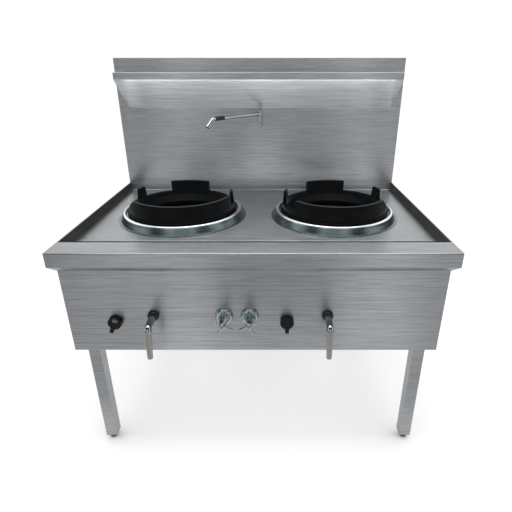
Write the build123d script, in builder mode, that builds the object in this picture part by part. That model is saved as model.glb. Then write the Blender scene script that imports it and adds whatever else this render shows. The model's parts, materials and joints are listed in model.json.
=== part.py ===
from build123d import *

import os
from math import cos, radians, sin, sqrt

# A two-burner gas wok range with a recessed stainless deck, cast-iron wok rings, a splashback with a shelf,
# a swinging water spout and knee levers. Millimetres; +X right, +Y back, +Z up. The origin is on the floor,
# below the middle of the range's box.

# ---- Overall ----
WIDTH = 1200.0            # worktop, side to side
DECK_DEPTH = 811.0        # worktop front edge to splashback face
SPLASH_THICK = 50.0
TOP = 800.0               # worktop rim above the floor
SPLASH_HEIGHT = 518.0     # splashback above the rim
SHEET = 2.0               # stainless sheet
CLEAR = 0.3               # gap where a loose or curved piece seats

EDGE = 2.0                # small chamfers and edge radii

# ---- Worktop ----
RIM_EDGE = 4.0            # hemmed side rim
FASCIA = 45.0             # upright front and side edge
RETURN = 20.0             # 45 degree return under the fascia, which sets the panels back
BAND = 86.0               # flat front band
PAN_DROP = 35.0           # deck below the rim
GUTTER_WIDTH = 96.0
GUTTER_DROP = 8.0         # gutter floor below the deck
FOLD = 5.0                # outside radius of the folds
LEDGE_HOLE = 9.0          # radius of the pipe hole in the rear ledge

# ---- Body ----
BODY_DROP = 348.0         # rim to the panels' lower edge
HEM = 6.0                 # folded lower edge of a panel
REAR_INSET = 8.0          # rear covers set in from the back
REAR_FLANGE = 15.0
SCREW_R = 2.4
SCREW_HEAD_R = 5.0
SCREW_HEAD = 2.5
VENT_ROWS = 4
VENT_PITCH = 24.0
VENT_LENGTH = 160.0
VENT_HEIGHT = 8.0

# ---- Legs ----
LEG = 40.0
LEG_WALL = 2.0
LEG_GAP = 8.0             # side panel to leg
LEG_FRONT = 80.0          # worktop front edge to the front legs
LEG_BACK = 46.0           # back of the range to the rear legs
RAIL = 25.0
RAIL_RISE = 4.0           # rails above the panels' lower edge
FOOT_HEIGHT = 18.0
FOOT_TOP_R = 18.0
FOOT_BASE_R = 13.0
STEM_R = 6.0
STEM_LENGTH = 45.0
STEM_FIT = 0.05
PLUG_DEPTH = 25.0

# ---- Splashback shelf ----
SHELF_WIDTH = 1120.0
SHELF_OUT = 145.0
SHELF_DROP = 54.0         # splashback top to shelf top
SHELF_LIP = 25.0
SHELF_BEVEL = 5.0
SHELF_HEIGHT = 138.0      # shelf top to the foot of its sloped underside

# ---- Burners ----
BURNER_X = 286.0          # either side of the middle
BURNER_BACK = 447.0       # worktop front edge to the burner centre
PAN_HOLE_R = 200.0
COLLAR_BASE_R = 237.0
COLLAR_FLANGE = 9.0
COLLAR_TOP_R = 219.0
COLLAR_HEIGHT = 30.0
COLLAR_SHOULDER_R = 206.0
COLLAR_SEAT_DROP = 7.0
COLLAR_THROAT_R = 196.0
COLLAR_SKIRT = 10.0       # collar below the deck sheet
RING_FLANGE_R = 202.0
RING_FLANGE = 12.0        # thickness of the cast flange
RING_WALL_R = 195.0       # outside of the wall at the flange
RING_TOP_R = 190.0        # outside of the wall at the top
RING_WALL = 8.0           # thickness at the top
RING_FOOT = 16.0          # thickness at the bottom of the vents
RING_HEIGHT = 68.0        # seat to the wok line
RING_LIP = 26.0           # seat to the bottom of the vents
RING_THROAT_R = 150.0
RING_DISH = 10.0          # throat below the seat
# photographed places on the left and the right ring, in degrees round from +X
LUG_MIDDLES = ((11.0, 90.0, 158.0), (22.0, 95.0, 169.0))    # right, rear and left lug
SHIELD_MIDDLES = (-78.0, -88.0)
SHIELD_SPANS = (129.0, 110.0)
REAR_LUG_SPAN = 49.0
SIDE_LUG_SPAN = 12.0
SHIELD_CORNER = 6.0       # rounding of the shield's and the rear lug's top corners
LUG_CORNER = 9.0          # rounding of the side lugs' top corners
DRUM_R = 215.0
DRUM_DEPTH = 188.0
DRUM_BASE = 3.0
DRUM_HOLE_R = 112.0
LINING_DEPTH = 172.0
LINING_MOUTH_R = 186.0
LINING_FLOOR_R = 122.0
LINING_LIP = 8.0
BURNER_R = 88.0
BURNER_RISE = 62.0        # head above the drum floor
BURNER_THICK = 22.0
BURNER_ARM = 16.0
JET_R = 7.0
JET_HEIGHT = 24.0
JET_BORE_R = 2.5
JET_CIRCLES = (70.0, 36.0)
JET_COUNTS = (8, 4)
MIXER_R = 27.0
MIXER_BORE_R = 22.0
MIXER_DROP = 34.0         # mixing tube below the drum floor
INJECTOR_R = 9.0
INJECTOR_HEIGHT = 22.0
INJECTOR_BORE_R = 2.0
PILOT_R = 5.0
PILOT_HEIGHT = 42.0
PILOT_RADIUS = 101.0      # burner centre to pilot

# ---- Front controls: drops below the rim and places along the panel ----
KNOB_DROP = 237.0
LEVER_DROP = 216.0
TAP_DROP = 220.0
KNOB_X = (-432.0, 99.0)
LEVER_X = (-313.0, 224.0)
TAP_X = (-96.0, -17.0)
TAP_TURN = (-25.0, 28.0)  # photographed turn of each cross handle
KNOB_TURN = (22.0, 0.0)   # photographed turn of each pointer, degrees left of straight down
SIDES = ("left", "right")

SPINDLE_HOLE = 1.0        # panel holes around the spindles

KNOB_SKIRT_R = 22.0
KNOB_SKIRT = 18.0         # panel side to face
KNOB_GRIP_R = 16.0        # axis to the upper end of the pointer bar
KNOB_GRIP = 9.0           # pointer bar above the face
KNOB_GRIP_W = 16.0
KNOB_NOSE = 29.0          # axis to the pointer's tip
KNOB_NOSE_W = 11.0
KNOB_SPINDLE_R = 4.0
PILOT_VALVE_R = 12.0
PILOT_VALVE_LENGTH = 48.0

BOSS_R = 18.0
BOSS_THICK = 14.0
BOSS_ROUND = 8.0
LEVER_OUT = 72.8          # panel to the knee
LEVER_STUB = 28.0         # boss to the end of the collar
LEVER_FALL = 1.5          # shaft's axis at the knee below the boss
LEVER_BEND = 11.5
LEVER_SHAFT_R = 10.0
LEVER_COLLAR_R = 11.5
LEVER_COLLAR = 9.0
LEVER_SPINDLE_R = 5.0
KNEE_LENGTH = 11.0        # knee to the handle
KNEE_R = 11.4             # ring that ends the shaft
KNEE_RING = 4.0
HANDLE_LEAN = 6.5         # degrees that the handle's foot leans out
HANDLE_TOP_R = 10.2
HANDLE_END_R = 8.2
HANDLE_LENGTH = 89.0
HANDLE_ROUND = 3.0
MAIN_VALVE_R = 17.0
MAIN_VALVE_LENGTH = 58.0

ESCUTCHEON_R = 28.0
ESCUTCHEON_THICK = 11.0
TAP_NECK_R = 11.0
TAP_NECK = 42.0           # panel to the front of the neck
TAP_SPINDLE_R = 5.0
TAP_HUB_R = 9.5
TAP_HUB = 18.0
TAP_GAP = 4.0             # neck to hub
TAP_ARM_R = 3.6
TAP_SPAN = 68.0
TAP_BODY_R = 14.0
TAP_BODY_LENGTH = 58.0
SPINDLE_FIT = 0.05        # running clearance of every spindle
SPINDLE_SHARE = 0.55      # part of a valve's length that its spindle enters

# ---- Gas and water pipes ----
GAS_PIPE_R = 13.2
SUPPLY_R = 10.5
PILOT_PIPE_R = 3.0
WATER_R = 7.5
DECK_PIPE_R = 6.0
DECK_BAR_R = 7.0          # cross pipe that carries the deck nozzles
PILOT_RISER_STEP = 4.0    # pilot risers in front of the gas rail's middle
MANIFOLD_DROP = 270.0
MANIFOLD_BACK = 62.0
GAS_RUN_X = 500.0
INLET_BACK = 740.0
INLET_DROP = 378.0
INLET_BORE = 30.0
GAS_BORE_R = 10.5
WATER_BORE_R = 5.5
SUPPLY_DROP = 295.0
SUPPLY_BACK = 150.0
PILOT_FALL = 29.0         # valve to the run below it
PILOT_BACK = 95.0
WATER_DROP = 244.0
WATER_BACK = 66.0
DECK_FEED_X = 22.0
DECK_FEED_BACK = 125.0    # worktop front edge to the deck feed's cross run
FEED_BACK = 165.0         # the same for the spout feed
NOZZLE_R = 6.0
NOZZLE_OUT = 14.0
NOZZLE_DROP = 17.0        # below the rim
NOZZLE_BORE_R = 3.5

# ---- Spout ----
SPOUT_X = 0.0
SPOUT_OUT = 30.0          # splashback to the riser
SPOUT_RISE = 253.0        # rim to the elbow's axis
SPOUT_R = 7.5
RISER_LENGTH = 35.0
BARREL_R = 8.0
BARREL_LENGTH = 29.0
SPIGOT_R = 4.5
SPIGOT_LENGTH = 14.0
SPOUT_ARM_R = 7.5
SPOUT_ARM_LENGTH = 264.0
SPOUT_TURN = -131.0       # photographed direction of the arm, degrees from +X
SLEEVE_R = 8.2
SLEEVE_LENGTH = 46.0
SLEEVE_START = 209.0
COLLAR_BAND = 14.0        # collar on the arm in front of the sleeve
NOZZLE_TIP_R = 8.5
NOZZLE_TIP = 12.0
NOZZLE_REACH = 22.0       # bend to the aerator, along the arm
NOZZLE_FALL = 22.0        # the same, down

# ---- Waste ----
WASTE_X = 75.0
WASTE_HOLE_R = 40.0
WASTE_CUP_R = 44.0
WASTE_CUP = 42.0
WASTE_PIPE_R = 25.0
WASTE_WALL = 2.5
WASTE_DROP = 372.0
BASKET_R = 37.0
BASKET_FLANGE_R = 45.5
BASKET_DEPTH = 30.0
BASKET_WALL = 1.5
BASKET_SLOT_W = 3.0
BASKET_SLOTS = 10
BASKET_GRIP_R = 5.0

# ---- Places worked out from the sizes above ----
DEPTH = DECK_DEPTH + SPLASH_THICK
LEAN = radians(HANDLE_LEAN)
HANDLE_OUT = (KNEE_LENGTH + HANDLE_LENGTH - HANDLE_ROUND) * sin(LEAN)
HANDLE_OUT += (HANDLE_END_R - HANDLE_ROUND) * cos(LEAN) + HANDLE_ROUND
LEVER_REACH = LEVER_OUT + HANDLE_OUT - RETURN      # in front of the worktop
FRONT = LEVER_REACH - (DEPTH + LEVER_REACH) / 2    # worktop front edge
BACK = FRONT + DEPTH
SPLASH_FACE = FRONT + DECK_DEPTH
MIDDLE = FRONT + DEPTH / 2
PANEL = FRONT + RETURN                             # outside of the front panel
PANEL_IN = PANEL + SHEET
BODY_HALF = WIDTH / 2 - RETURN
BODY_TOP = TOP - FASCIA - RETURN
BODY_BASE = TOP - BODY_DROP
PAN = TOP - PAN_DROP                               # upper face of the deck
PAN_UNDER = PAN - SHEET
GUTTER = PAN - GUTTER_DROP
GUTTER_BACK = FRONT + BAND + GUTTER_WIDTH
BURNER_Y = FRONT + BURNER_BACK
BURNERS = {"left": -BURNER_X, "right": BURNER_X}
SEAT = PAN + COLLAR_HEIGHT - COLLAR_SEAT_DROP      # the wok ring's seat
DRUM_FLOOR = PAN_UNDER - DRUM_DEPTH
REAR_COVER = BACK - REAR_INSET                     # outside of the rear covers
SPOUT_Y = SPLASH_FACE - SPOUT_OUT
ELBOW_Z = TOP + SPOUT_RISE
RISER_TOP = ELBOW_Z + RISER_LENGTH
ARM_Z = RISER_TOP + BARREL_LENGTH / 2
GUTTER_MIDDLE = FRONT + BAND + GUTTER_WIDTH / 2
FEED_RISE = SPLASH_FACE + SPLASH_THICK * 0.58       # spout feed inside the splashback
DECK_RISE = SPLASH_FACE + SPLASH_THICK * 0.22       # deck feed below the ledge
NOZZLE_Y = DECK_RISE - DECK_BAR_R - 1              # deck nozzles meet their pipe
LEG_X = BODY_HALF - SHEET - LEG_GAP - LEG / 2
LEG_Y = {"front": FRONT + LEG_FRONT + LEG / 2, "rear": BACK - LEG_BACK - LEG / 2}
LEG_TOP = {"front": GUTTER - SHEET, "rear": PAN_UNDER}
RAIL_Z = BODY_BASE + RAIL_RISE + RAIL / 2
MANIFOLD_Z = TOP - MANIFOLD_DROP
MANIFOLD_Y = FRONT + MANIFOLD_BACK
SUPPLY_Z = TOP - SUPPLY_DROP
LEVER_Z = TOP - LEVER_DROP
KNOB_Z = TOP - KNOB_DROP
TAP_Z = TOP - TAP_DROP
INLET_Z = TOP - INLET_DROP
VALVE_BACK = PANEL_IN + MAIN_VALVE_LENGTH
PILOT_VALVE_BACK = PANEL_IN + PILOT_VALVE_LENGTH
TAP_BODY_BACK = PANEL_IN + TAP_BODY_LENGTH
HEAD_Z = DRUM_FLOOR + BURNER_RISE
JET_TOP = HEAD_Z + BURNER_THICK + JET_HEIGHT
WATER_Y = FRONT + WATER_BACK
PILOT_RISER_Y = MANIFOLD_Y - PILOT_RISER_STEP
ELBOW_START = SPLASH_FACE + 4 * SHEET              # spout feed meets the wall elbow
REAR_SCREWS = [
    (column * (BODY_HALF - SHEET - REAR_FLANGE / 2), BODY_BASE + (BODY_TOP - BODY_BASE) * share)
    for column in (-1, 1)
    for share in (0.1, 0.37, 0.63, 0.9)
]

os.makedirs("parts", exist_ok=True)


def save(part, name):
    part.label = name
    export_step(part, f"parts/{name}.step")


def lathe_plane(x, y, z=0.0):
    """Plane for a profile that is turned about the upright line through x, y."""
    return Plane(origin=(x, y, z), x_dir=(1, 0, 0), z_dir=(0, -1, 0))


def upright(x, y):
    return Axis((x, y, 0), (0, 0, 1))


def panel_plane(x, z, y):
    """Plane parallel to the front panel; its normal points out of the range."""
    return Plane(origin=(x, y, z), x_dir=(1, 0, 0), z_dir=(0, -1, 0))


def turned(x, y, outline):
    """Solid of revolution about the upright line through x, y; outline is (radius, height) points."""
    with BuildPart() as piece:
        with BuildSketch(lathe_plane(x, y)):
            with BuildLine():
                Polyline(*outline, close=True)
            make_face()
        revolve(axis=upright(x, y))
    return piece.part


def pipe(points, bend, radius):
    """Round pipe along straight runs joined by bends of one radius."""
    with BuildPart() as run:
        with BuildLine() as route:
            FilletPolyline(*points, radius=bend)
        with BuildSketch(Plane(origin=route.line @ 0, z_dir=route.line % 0)):
            Circle(radius)
        sweep()
    return run.part


def tube_bar(plane, size, wall, length):
    """Square tube from a plane."""
    with BuildPart() as bar:
        with BuildSketch(plane):
            Rectangle(size, size)
            Rectangle(size - 2 * wall, size - 2 * wall, mode=Mode.SUBTRACT)
        extrude(amount=length)
    return bar.part


# ---- Worktop ----
def make_worktop():
    inside = WIDTH / 2 - RIM_EDGE
    slope = SHEET * sqrt(2)                         # level thickness of the sheet in the 45 degree return
    with BuildPart() as worktop:
        # the folded sheet, seen from its side: fascia, band, gutter, deck, upstand, ledge and back edge
        with BuildSketch(Plane.YZ):
            with BuildLine():
                outline = FilletPolyline(
                    (FRONT, TOP - FASCIA),
                    (FRONT, TOP),
                    (FRONT + BAND, TOP),
                    (FRONT + BAND, GUTTER),
                    (GUTTER_BACK, GUTTER),
                    (GUTTER_BACK, PAN),
                    (SPLASH_FACE, PAN),
                    (SPLASH_FACE, TOP),
                    (BACK, TOP),
                    (BACK, BODY_TOP),
                    radius=(FOLD, SHEET / 2, FOLD / 2, FOLD / 2, FOLD / 2, FOLD / 2, SHEET / 2, SHEET / 2),
                )
                offset(outline, amount=SHEET, side=Side.RIGHT, mode=Mode.ADD)
            make_face()
        extrude(amount=inside, both=True)
        # hemmed side rims close the pan's ends
        with BuildSketch(Plane.YZ.offset(inside), Plane.YZ.offset(-WIDTH / 2)):
            with Locations((MIDDLE, TOP - FASCIA / 2)):
                Rectangle(DEPTH, FASCIA)
        extrude(amount=RIM_EDGE)
        # 45 degree return below the fascia, open at the back
        with BuildSketch(Plane.XY.offset(TOP - FASCIA)):
            with Locations((0, MIDDLE)):
                Rectangle(WIDTH, DEPTH)
        with BuildSketch(Plane.XY.offset(BODY_TOP)):
            with Locations((0, MIDDLE + RETURN / 2)):
                Rectangle(2 * BODY_HALF, DEPTH - RETURN)
        loft()
        with BuildSketch(Plane.XY.offset(TOP - FASCIA)):
            with Locations((0, MIDDLE + (slope - SHEET) / 2)):
                Rectangle(WIDTH - 2 * slope, DEPTH - slope - SHEET)
        with BuildSketch(Plane.XY.offset(BODY_TOP)):
            with Locations((0, MIDDLE + (RETURN + slope - SHEET) / 2)):
                Rectangle(2 * (BODY_HALF - slope), DEPTH - RETURN - slope - SHEET)
        loft(mode=Mode.SUBTRACT)
        # burner holes, waste hole and the holes for the water pipes
        with BuildSketch(Plane.XY.offset(PAN)):
            with Locations(*[(x, BURNER_Y) for x in BURNERS.values()]):
                Circle(PAN_HOLE_R)
        extrude(amount=-SHEET, mode=Mode.SUBTRACT)
        with BuildSketch(Plane.XY.offset(GUTTER)):
            with Locations((WASTE_X, GUTTER_MIDDLE)):
                Circle(WASTE_HOLE_R)
        extrude(amount=-SHEET, mode=Mode.SUBTRACT)
        with BuildSketch(Plane.XY.offset(TOP)):
            with Locations((SPOUT_X, FEED_RISE)):
                Circle(LEDGE_HOLE)
        extrude(amount=-SHEET, mode=Mode.SUBTRACT)
        with BuildSketch(Plane.XZ.offset(-SPLASH_FACE)):
            with Locations(*[(x, TOP - NOZZLE_DROP) for x in BURNERS.values()]):
                Circle(NOZZLE_R + CLEAR)
        extrude(amount=-SHEET, mode=Mode.SUBTRACT)
    return worktop.part


# ---- Panels ----
def make_front_panel():
    with BuildPart() as panel:
        with BuildSketch(Plane.YZ):
            with BuildLine():
                outline = FilletPolyline(
                    (PANEL, BODY_TOP), (PANEL, BODY_BASE), (PANEL + HEM, BODY_BASE), radius=SHEET
                )
                offset(outline, amount=SHEET, side=Side.LEFT, mode=Mode.ADD)
            make_face()
        extrude(amount=BODY_HALF - SHEET, both=True)
        # the plate runs past its hem to cover the front edges of the sides
        with BuildSketch(Plane.XZ.offset(-PANEL)):
            with Locations((0, (BODY_TOP + BODY_BASE) / 2)):
                Rectangle(2 * BODY_HALF, BODY_TOP - BODY_BASE)
                Rectangle(2 * (BODY_HALF - SHEET), BODY_TOP - BODY_BASE, mode=Mode.SUBTRACT)
        extrude(amount=-SHEET)
        # holes for the spindles of the knobs, levers and taps
        with BuildSketch(Plane.XZ.offset(-PANEL)):
            with Locations(*[(x, KNOB_Z) for x in KNOB_X]):
                Circle(KNOB_SPINDLE_R + SPINDLE_HOLE)
            with Locations(*[(x, LEVER_Z) for x in LEVER_X]):
                Circle(LEVER_SPINDLE_R + SPINDLE_HOLE)
            with Locations(*[(x, TAP_Z) for x in TAP_X]):
                Circle(TAP_NECK_R + CLEAR)
        extrude(amount=-SHEET, mode=Mode.SUBTRACT)
    return panel.part


def make_side_panel(side):
    """Sheet side with a rear flange that takes the rear panel's screws."""
    inner = BODY_HALF - SHEET
    flange_face = REAR_COVER - SHEET
    with BuildPart() as panel:
        with BuildSketch(Plane.XY.offset(BODY_BASE)):
            with BuildLine():
                Polyline(
                    (side * BODY_HALF, PANEL_IN),
                    (side * BODY_HALF, BACK),
                    (side * inner, BACK),
                    (side * inner, flange_face),
                    (side * (inner - REAR_FLANGE), flange_face),
                    (side * (inner - REAR_FLANGE), flange_face - SHEET),
                    (side * inner, flange_face - SHEET),
                    (side * inner, PANEL_IN),
                    close=True,
                )
            make_face()
        extrude(amount=BODY_TOP - BODY_BASE)
        with BuildSketch(Plane.XZ.offset(-flange_face)):
            with Locations(*[(x, z) for x, z in REAR_SCREWS if x * side > 0]):
                Circle(SCREW_R + CLEAR)
        extrude(amount=SHEET, mode=Mode.SUBTRACT)
    return panel.part


def make_rear_panel():
    with BuildPart() as panel:
        with BuildSketch(Plane.XZ.offset(-REAR_COVER)):
            with Locations((0, (BODY_TOP + BODY_BASE) / 2)):
                Rectangle(2 * (BODY_HALF - SHEET), BODY_TOP - BODY_BASE)
            with Locations(*REAR_SCREWS):
                Circle(SCREW_R + CLEAR, mode=Mode.SUBTRACT)
            # ventilation slots
            with Locations((0, (BODY_TOP + BODY_BASE) / 2)):
                with GridLocations(BURNER_X * 2, VENT_PITCH, 2, VENT_ROWS):
                    SlotOverall(VENT_LENGTH, VENT_HEIGHT, mode=Mode.SUBTRACT)
        extrude(amount=SHEET)
    return panel.part


def make_rear_screws():
    with BuildPart() as screws:
        with BuildSketch(Plane.XZ.offset(-REAR_COVER)):
            with Locations(*REAR_SCREWS):
                Circle(SCREW_HEAD_R)
        extrude(amount=-SCREW_HEAD)
        with BuildSketch(Plane.XZ.offset(-REAR_COVER)):
            with Locations(*REAR_SCREWS):
                Circle(SCREW_R)
        extrude(amount=SCREW_HEAD * 4)
    return screws.part


# ---- Splashback ----
def make_splashback():
    """Folded box, open at the back, with a hole for the spout's elbow and one in its floor for the feed."""
    height = SPLASH_HEIGHT
    with BuildPart() as splash:
        with BuildSketch(Plane.XZ.offset(-SPLASH_FACE)):
            with Locations((0, TOP + height / 2)):
                Rectangle(WIDTH, height)
        extrude(amount=-SPLASH_THICK)
        fillet(splash.edges().filter_by(Axis.X).group_by(Axis.Z)[-1].sort_by(Axis.Y)[0], radius=FOLD / 2)
        with BuildSketch(Plane.XZ.offset(-BACK)):
            with Locations((0, TOP + height / 2)):
                Rectangle(WIDTH - 2 * SHEET, height - 2 * SHEET)
        extrude(amount=SPLASH_THICK - SHEET, mode=Mode.SUBTRACT)
        with BuildSketch(Plane.XZ.offset(-SPLASH_FACE)):
            with Locations((SPOUT_X, ELBOW_Z)):
                Circle(SPOUT_R + CLEAR)
        extrude(amount=-SHEET, mode=Mode.SUBTRACT)
        with BuildSketch(Plane.XY.offset(TOP)):
            with Locations((SPOUT_X, FEED_RISE)):
                Circle(LEDGE_HOLE)
        extrude(amount=SHEET, mode=Mode.SUBTRACT)
    return splash.part


def make_splash_cover():
    with BuildPart() as cover:
        with BuildSketch(Plane.XZ.offset(-REAR_COVER)):
            with Locations((0, TOP + SPLASH_HEIGHT / 2)):
                Rectangle(WIDTH - 2 * SHEET, SPLASH_HEIGHT - 2 * SHEET)
        extrude(amount=SHEET)
    return cover.part


def make_shelf():
    """Folded sheet: top, lip, bevel and sloped underside, with a closing plate at each end."""
    top = TOP + SPLASH_HEIGHT - SHELF_DROP
    lip = SPLASH_FACE - SHELF_OUT
    underside = (
        (SPLASH_FACE, top),
        (lip, top),
        (lip, top - SHELF_LIP),
        (lip + SHELF_BEVEL, top - SHELF_LIP - SHELF_BEVEL),
        (SPLASH_FACE, top - SHELF_HEIGHT),
    )
    with BuildPart() as shelf:
        with BuildSketch(Plane.YZ):
            with BuildLine():
                outline = FilletPolyline(*underside, radius=(FOLD / 2, FOLD / 4, FOLD / 4))
                offset(outline, amount=SHEET, side=Side.LEFT, mode=Mode.ADD)
            make_face()
            # trim the sheet where it meets the splashback
            with Locations((SPLASH_FACE + SHELF_OUT / 2, top)):
                Rectangle(SHELF_OUT, 4 * SHELF_HEIGHT, mode=Mode.SUBTRACT)
        extrude(amount=SHELF_WIDTH / 2, both=True)
        with BuildSketch(Plane.YZ.offset(-SHELF_WIDTH / 2), Plane.YZ.offset(SHELF_WIDTH / 2 - SHEET)):
            with BuildLine():
                FilletPolyline(*underside, radius=(FOLD / 2, FOLD / 4, FOLD / 4))
                Line(underside[-1], underside[0])
            make_face()
        extrude(amount=SHEET)
    return shelf.part


# ---- Legs, rails and feet ----
def make_leg(side, end):
    plane = Plane.XY.offset(FOOT_HEIGHT) * Pos(side * LEG_X, LEG_Y[end], 0)
    return tube_bar(plane, LEG, LEG_WALL, LEG_TOP[end] - FOOT_HEIGHT)


def make_rails():
    """Four square tubes between the legs, flush with their outer faces."""
    step = (LEG - RAIL) / 2
    span_x = 2 * LEG_X - LEG
    span_y = LEG_Y["rear"] - LEG_Y["front"] - LEG
    with BuildPart() as rails:
        with BuildSketch(
            Plane(origin=(-span_x / 2, LEG_Y["front"] - step, RAIL_Z), x_dir=(0, 1, 0), z_dir=(1, 0, 0)),
            Plane(origin=(-span_x / 2, LEG_Y["rear"] + step, RAIL_Z), x_dir=(0, 1, 0), z_dir=(1, 0, 0)),
        ):
            Rectangle(RAIL, RAIL)
            Rectangle(RAIL - 2 * LEG_WALL, RAIL - 2 * LEG_WALL, mode=Mode.SUBTRACT)
        extrude(amount=span_x)
        start = LEG_Y["front"] + LEG / 2
        with BuildSketch(
            Plane(origin=(-LEG_X - step, start, RAIL_Z), x_dir=(-1, 0, 0), z_dir=(0, 1, 0)),
            Plane(origin=(LEG_X + step, start, RAIL_Z), x_dir=(-1, 0, 0), z_dir=(0, 1, 0)),
        ):
            Rectangle(RAIL, RAIL)
            Rectangle(RAIL - 2 * LEG_WALL, RAIL - 2 * LEG_WALL, mode=Mode.SUBTRACT)
        extrude(amount=span_y)
    return rails.part


def make_leg_plugs():
    """Square plugs in the feet of the legs, tapped for the levelling stems."""
    size = LEG - 2 * LEG_WALL
    corners = [(side * LEG_X, y) for side in (-1, 1) for y in LEG_Y.values()]
    with BuildPart() as plugs:
        with BuildSketch(Plane.XY.offset(FOOT_HEIGHT)):
            with Locations(*corners):
                Rectangle(size, size)
                Circle(STEM_R + STEM_FIT, mode=Mode.SUBTRACT)
        extrude(amount=PLUG_DEPTH)
    return plugs.part


def make_foot(side, end):
    """Tapered levelling foot with a wrench flat ring and its stem."""
    x, y = side * LEG_X, LEG_Y[end]
    edge = FOOT_HEIGHT / 9
    return turned(x, y, (
        (0, 0),
        (FOOT_BASE_R - edge, 0),
        (FOOT_BASE_R, edge),
        (FOOT_TOP_R - edge / 2, FOOT_HEIGHT - 2 * edge),
        (FOOT_TOP_R, FOOT_HEIGHT - 2 * edge),
        (FOOT_TOP_R, FOOT_HEIGHT),
        (STEM_R, FOOT_HEIGHT),
        (STEM_R, FOOT_HEIGHT + STEM_LENGTH - edge),
        (STEM_R - edge, FOOT_HEIGHT + STEM_LENGTH),
        (0, FOOT_HEIGHT + STEM_LENGTH),
    ))


# ---- Burners ----
def make_collar(x):
    """Spun stainless collar: base flange on the deck, sloped wall, rolled shoulder, seat and skirt."""
    crown = PAN + COLLAR_HEIGHT
    wall_r = COLLAR_BASE_R - COLLAR_FLANGE
    roll = (COLLAR_TOP_R - COLLAR_SHOULDER_R) / 2
    with BuildPart() as collar:
        with BuildSketch(lathe_plane(x, BURNER_Y)):
            with BuildLine():
                Line((COLLAR_BASE_R, PAN), (COLLAR_BASE_R, PAN + SHEET))
                Line((COLLAR_BASE_R, PAN + SHEET), (wall_r, PAN + SHEET))
                Line((wall_r, PAN + SHEET), (COLLAR_TOP_R, crown - roll))
                ThreePointArc(
                    (COLLAR_TOP_R, crown - roll),
                    (COLLAR_TOP_R - roll, crown),
                    (COLLAR_SHOULDER_R, crown - roll),
                )
                Polyline(
                    (COLLAR_SHOULDER_R, crown - roll),
                    (COLLAR_SHOULDER_R, SEAT),
                    (COLLAR_THROAT_R, SEAT),
                    (COLLAR_THROAT_R, PAN_UNDER - COLLAR_SKIRT),
                    (COLLAR_THROAT_R + SHEET, PAN_UNDER - COLLAR_SKIRT),
                    (COLLAR_THROAT_R + SHEET, SEAT - SHEET),
                    (COLLAR_SHOULDER_R + SHEET, SEAT - SHEET),
                    (wall_r - SHEET, PAN),
                    (COLLAR_BASE_R, PAN),
                )
            make_face()
        revolve(axis=upright(x, BURNER_Y))
    return collar.part


def make_wok_ring(x, vents):
    """Cast ring: flange, dished throat and a coned wall that its vents part into a shield and three lugs."""
    crown = SEAT + RING_HEIGHT
    lip = SEAT + RING_LIP
    slope = (RING_WALL_R - RING_TOP_R) / (RING_HEIGHT - RING_FLANGE)
    lip_r = RING_WALL_R - slope * (RING_LIP - RING_FLANGE)
    with BuildPart() as ring:
        with BuildSketch(lathe_plane(x, BURNER_Y)):
            with BuildLine():
                Polyline(
                    (RING_FLANGE_R, SEAT),
                    (RING_FLANGE_R, SEAT + RING_FLANGE - EDGE),
                    (RING_FLANGE_R - EDGE, SEAT + RING_FLANGE),
                    (RING_WALL_R, SEAT + RING_FLANGE),
                    (RING_TOP_R, crown - EDGE),
                    (RING_TOP_R - EDGE, crown),
                    (RING_TOP_R - RING_WALL + EDGE, crown),
                    (RING_TOP_R - RING_WALL, crown - EDGE),
                    (lip_r - RING_FOOT, lip),
                    (lip_r - RING_FOOT - EDGE, SEAT + RING_FLANGE),
                    (RING_THROAT_R, SEAT - RING_DISH),
                    (RING_THROAT_R, SEAT - RING_DISH - RING_WALL),
                    (COLLAR_THROAT_R - CLEAR * 4, SEAT - EDGE),
                    (COLLAR_THROAT_R - CLEAR * 4, SEAT),
                    close=True,
                )
            make_face()
        revolve(axis=upright(x, BURNER_Y))
        # vents between the shield and the lugs
        with BuildSketch(Plane.XY.offset(lip) * Pos(x, BURNER_Y, 0)):
            for start, end in vents:
                with BuildLine():
                    arc = CenterArc((0, 0), RING_WALL_R + RING_TOP_R, start, end - start)
                    Line((0, 0), arc @ 0)
                    Line(arc @ 1, (0, 0))
                make_face()
        extrude(amount=RING_HEIGHT, mode=Mode.SUBTRACT)
        corners = ring.edges().filter_by(GeomType.LINE).filter_by_position(Axis.Z, crown - EDGE / 4, crown)
        lugs = corners.filter_by_position(Axis.Y, BURNER_Y, BURNER_Y + RING_TOP_R * sin(radians(45)))
        shields = [corner for corner in corners if corner not in lugs]
        fillet(lugs, radius=LUG_CORNER)
        fillet(shields, radius=SHIELD_CORNER)
    return ring.part


def ring_vents(lugs, shield, span):
    """Start and end in degrees of each vent, from the shield round to the shield again."""
    sides = [(lug, width / 2) for lug, width in zip(lugs, (SIDE_LUG_SPAN, REAR_LUG_SPAN, SIDE_LUG_SPAN))]
    starts = [shield + span / 2] + [lug + half for lug, half in sides]
    ends = [lug - half for lug, half in sides] + [shield + 360 - span / 2]
    return zip(starts, ends)


def make_drum(x):
    """Steel chamber under the deck with a floor that carries the lining and the burner."""
    wall = DRUM_R - SHEET
    return turned(x, BURNER_Y, (
        (DRUM_R, PAN_UNDER),
        (DRUM_R, DRUM_FLOOR - DRUM_BASE),
        (DRUM_HOLE_R, DRUM_FLOOR - DRUM_BASE),
        (DRUM_HOLE_R, DRUM_FLOOR),
        (wall, DRUM_FLOOR),
        (wall, PAN_UNDER),
    ))


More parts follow.
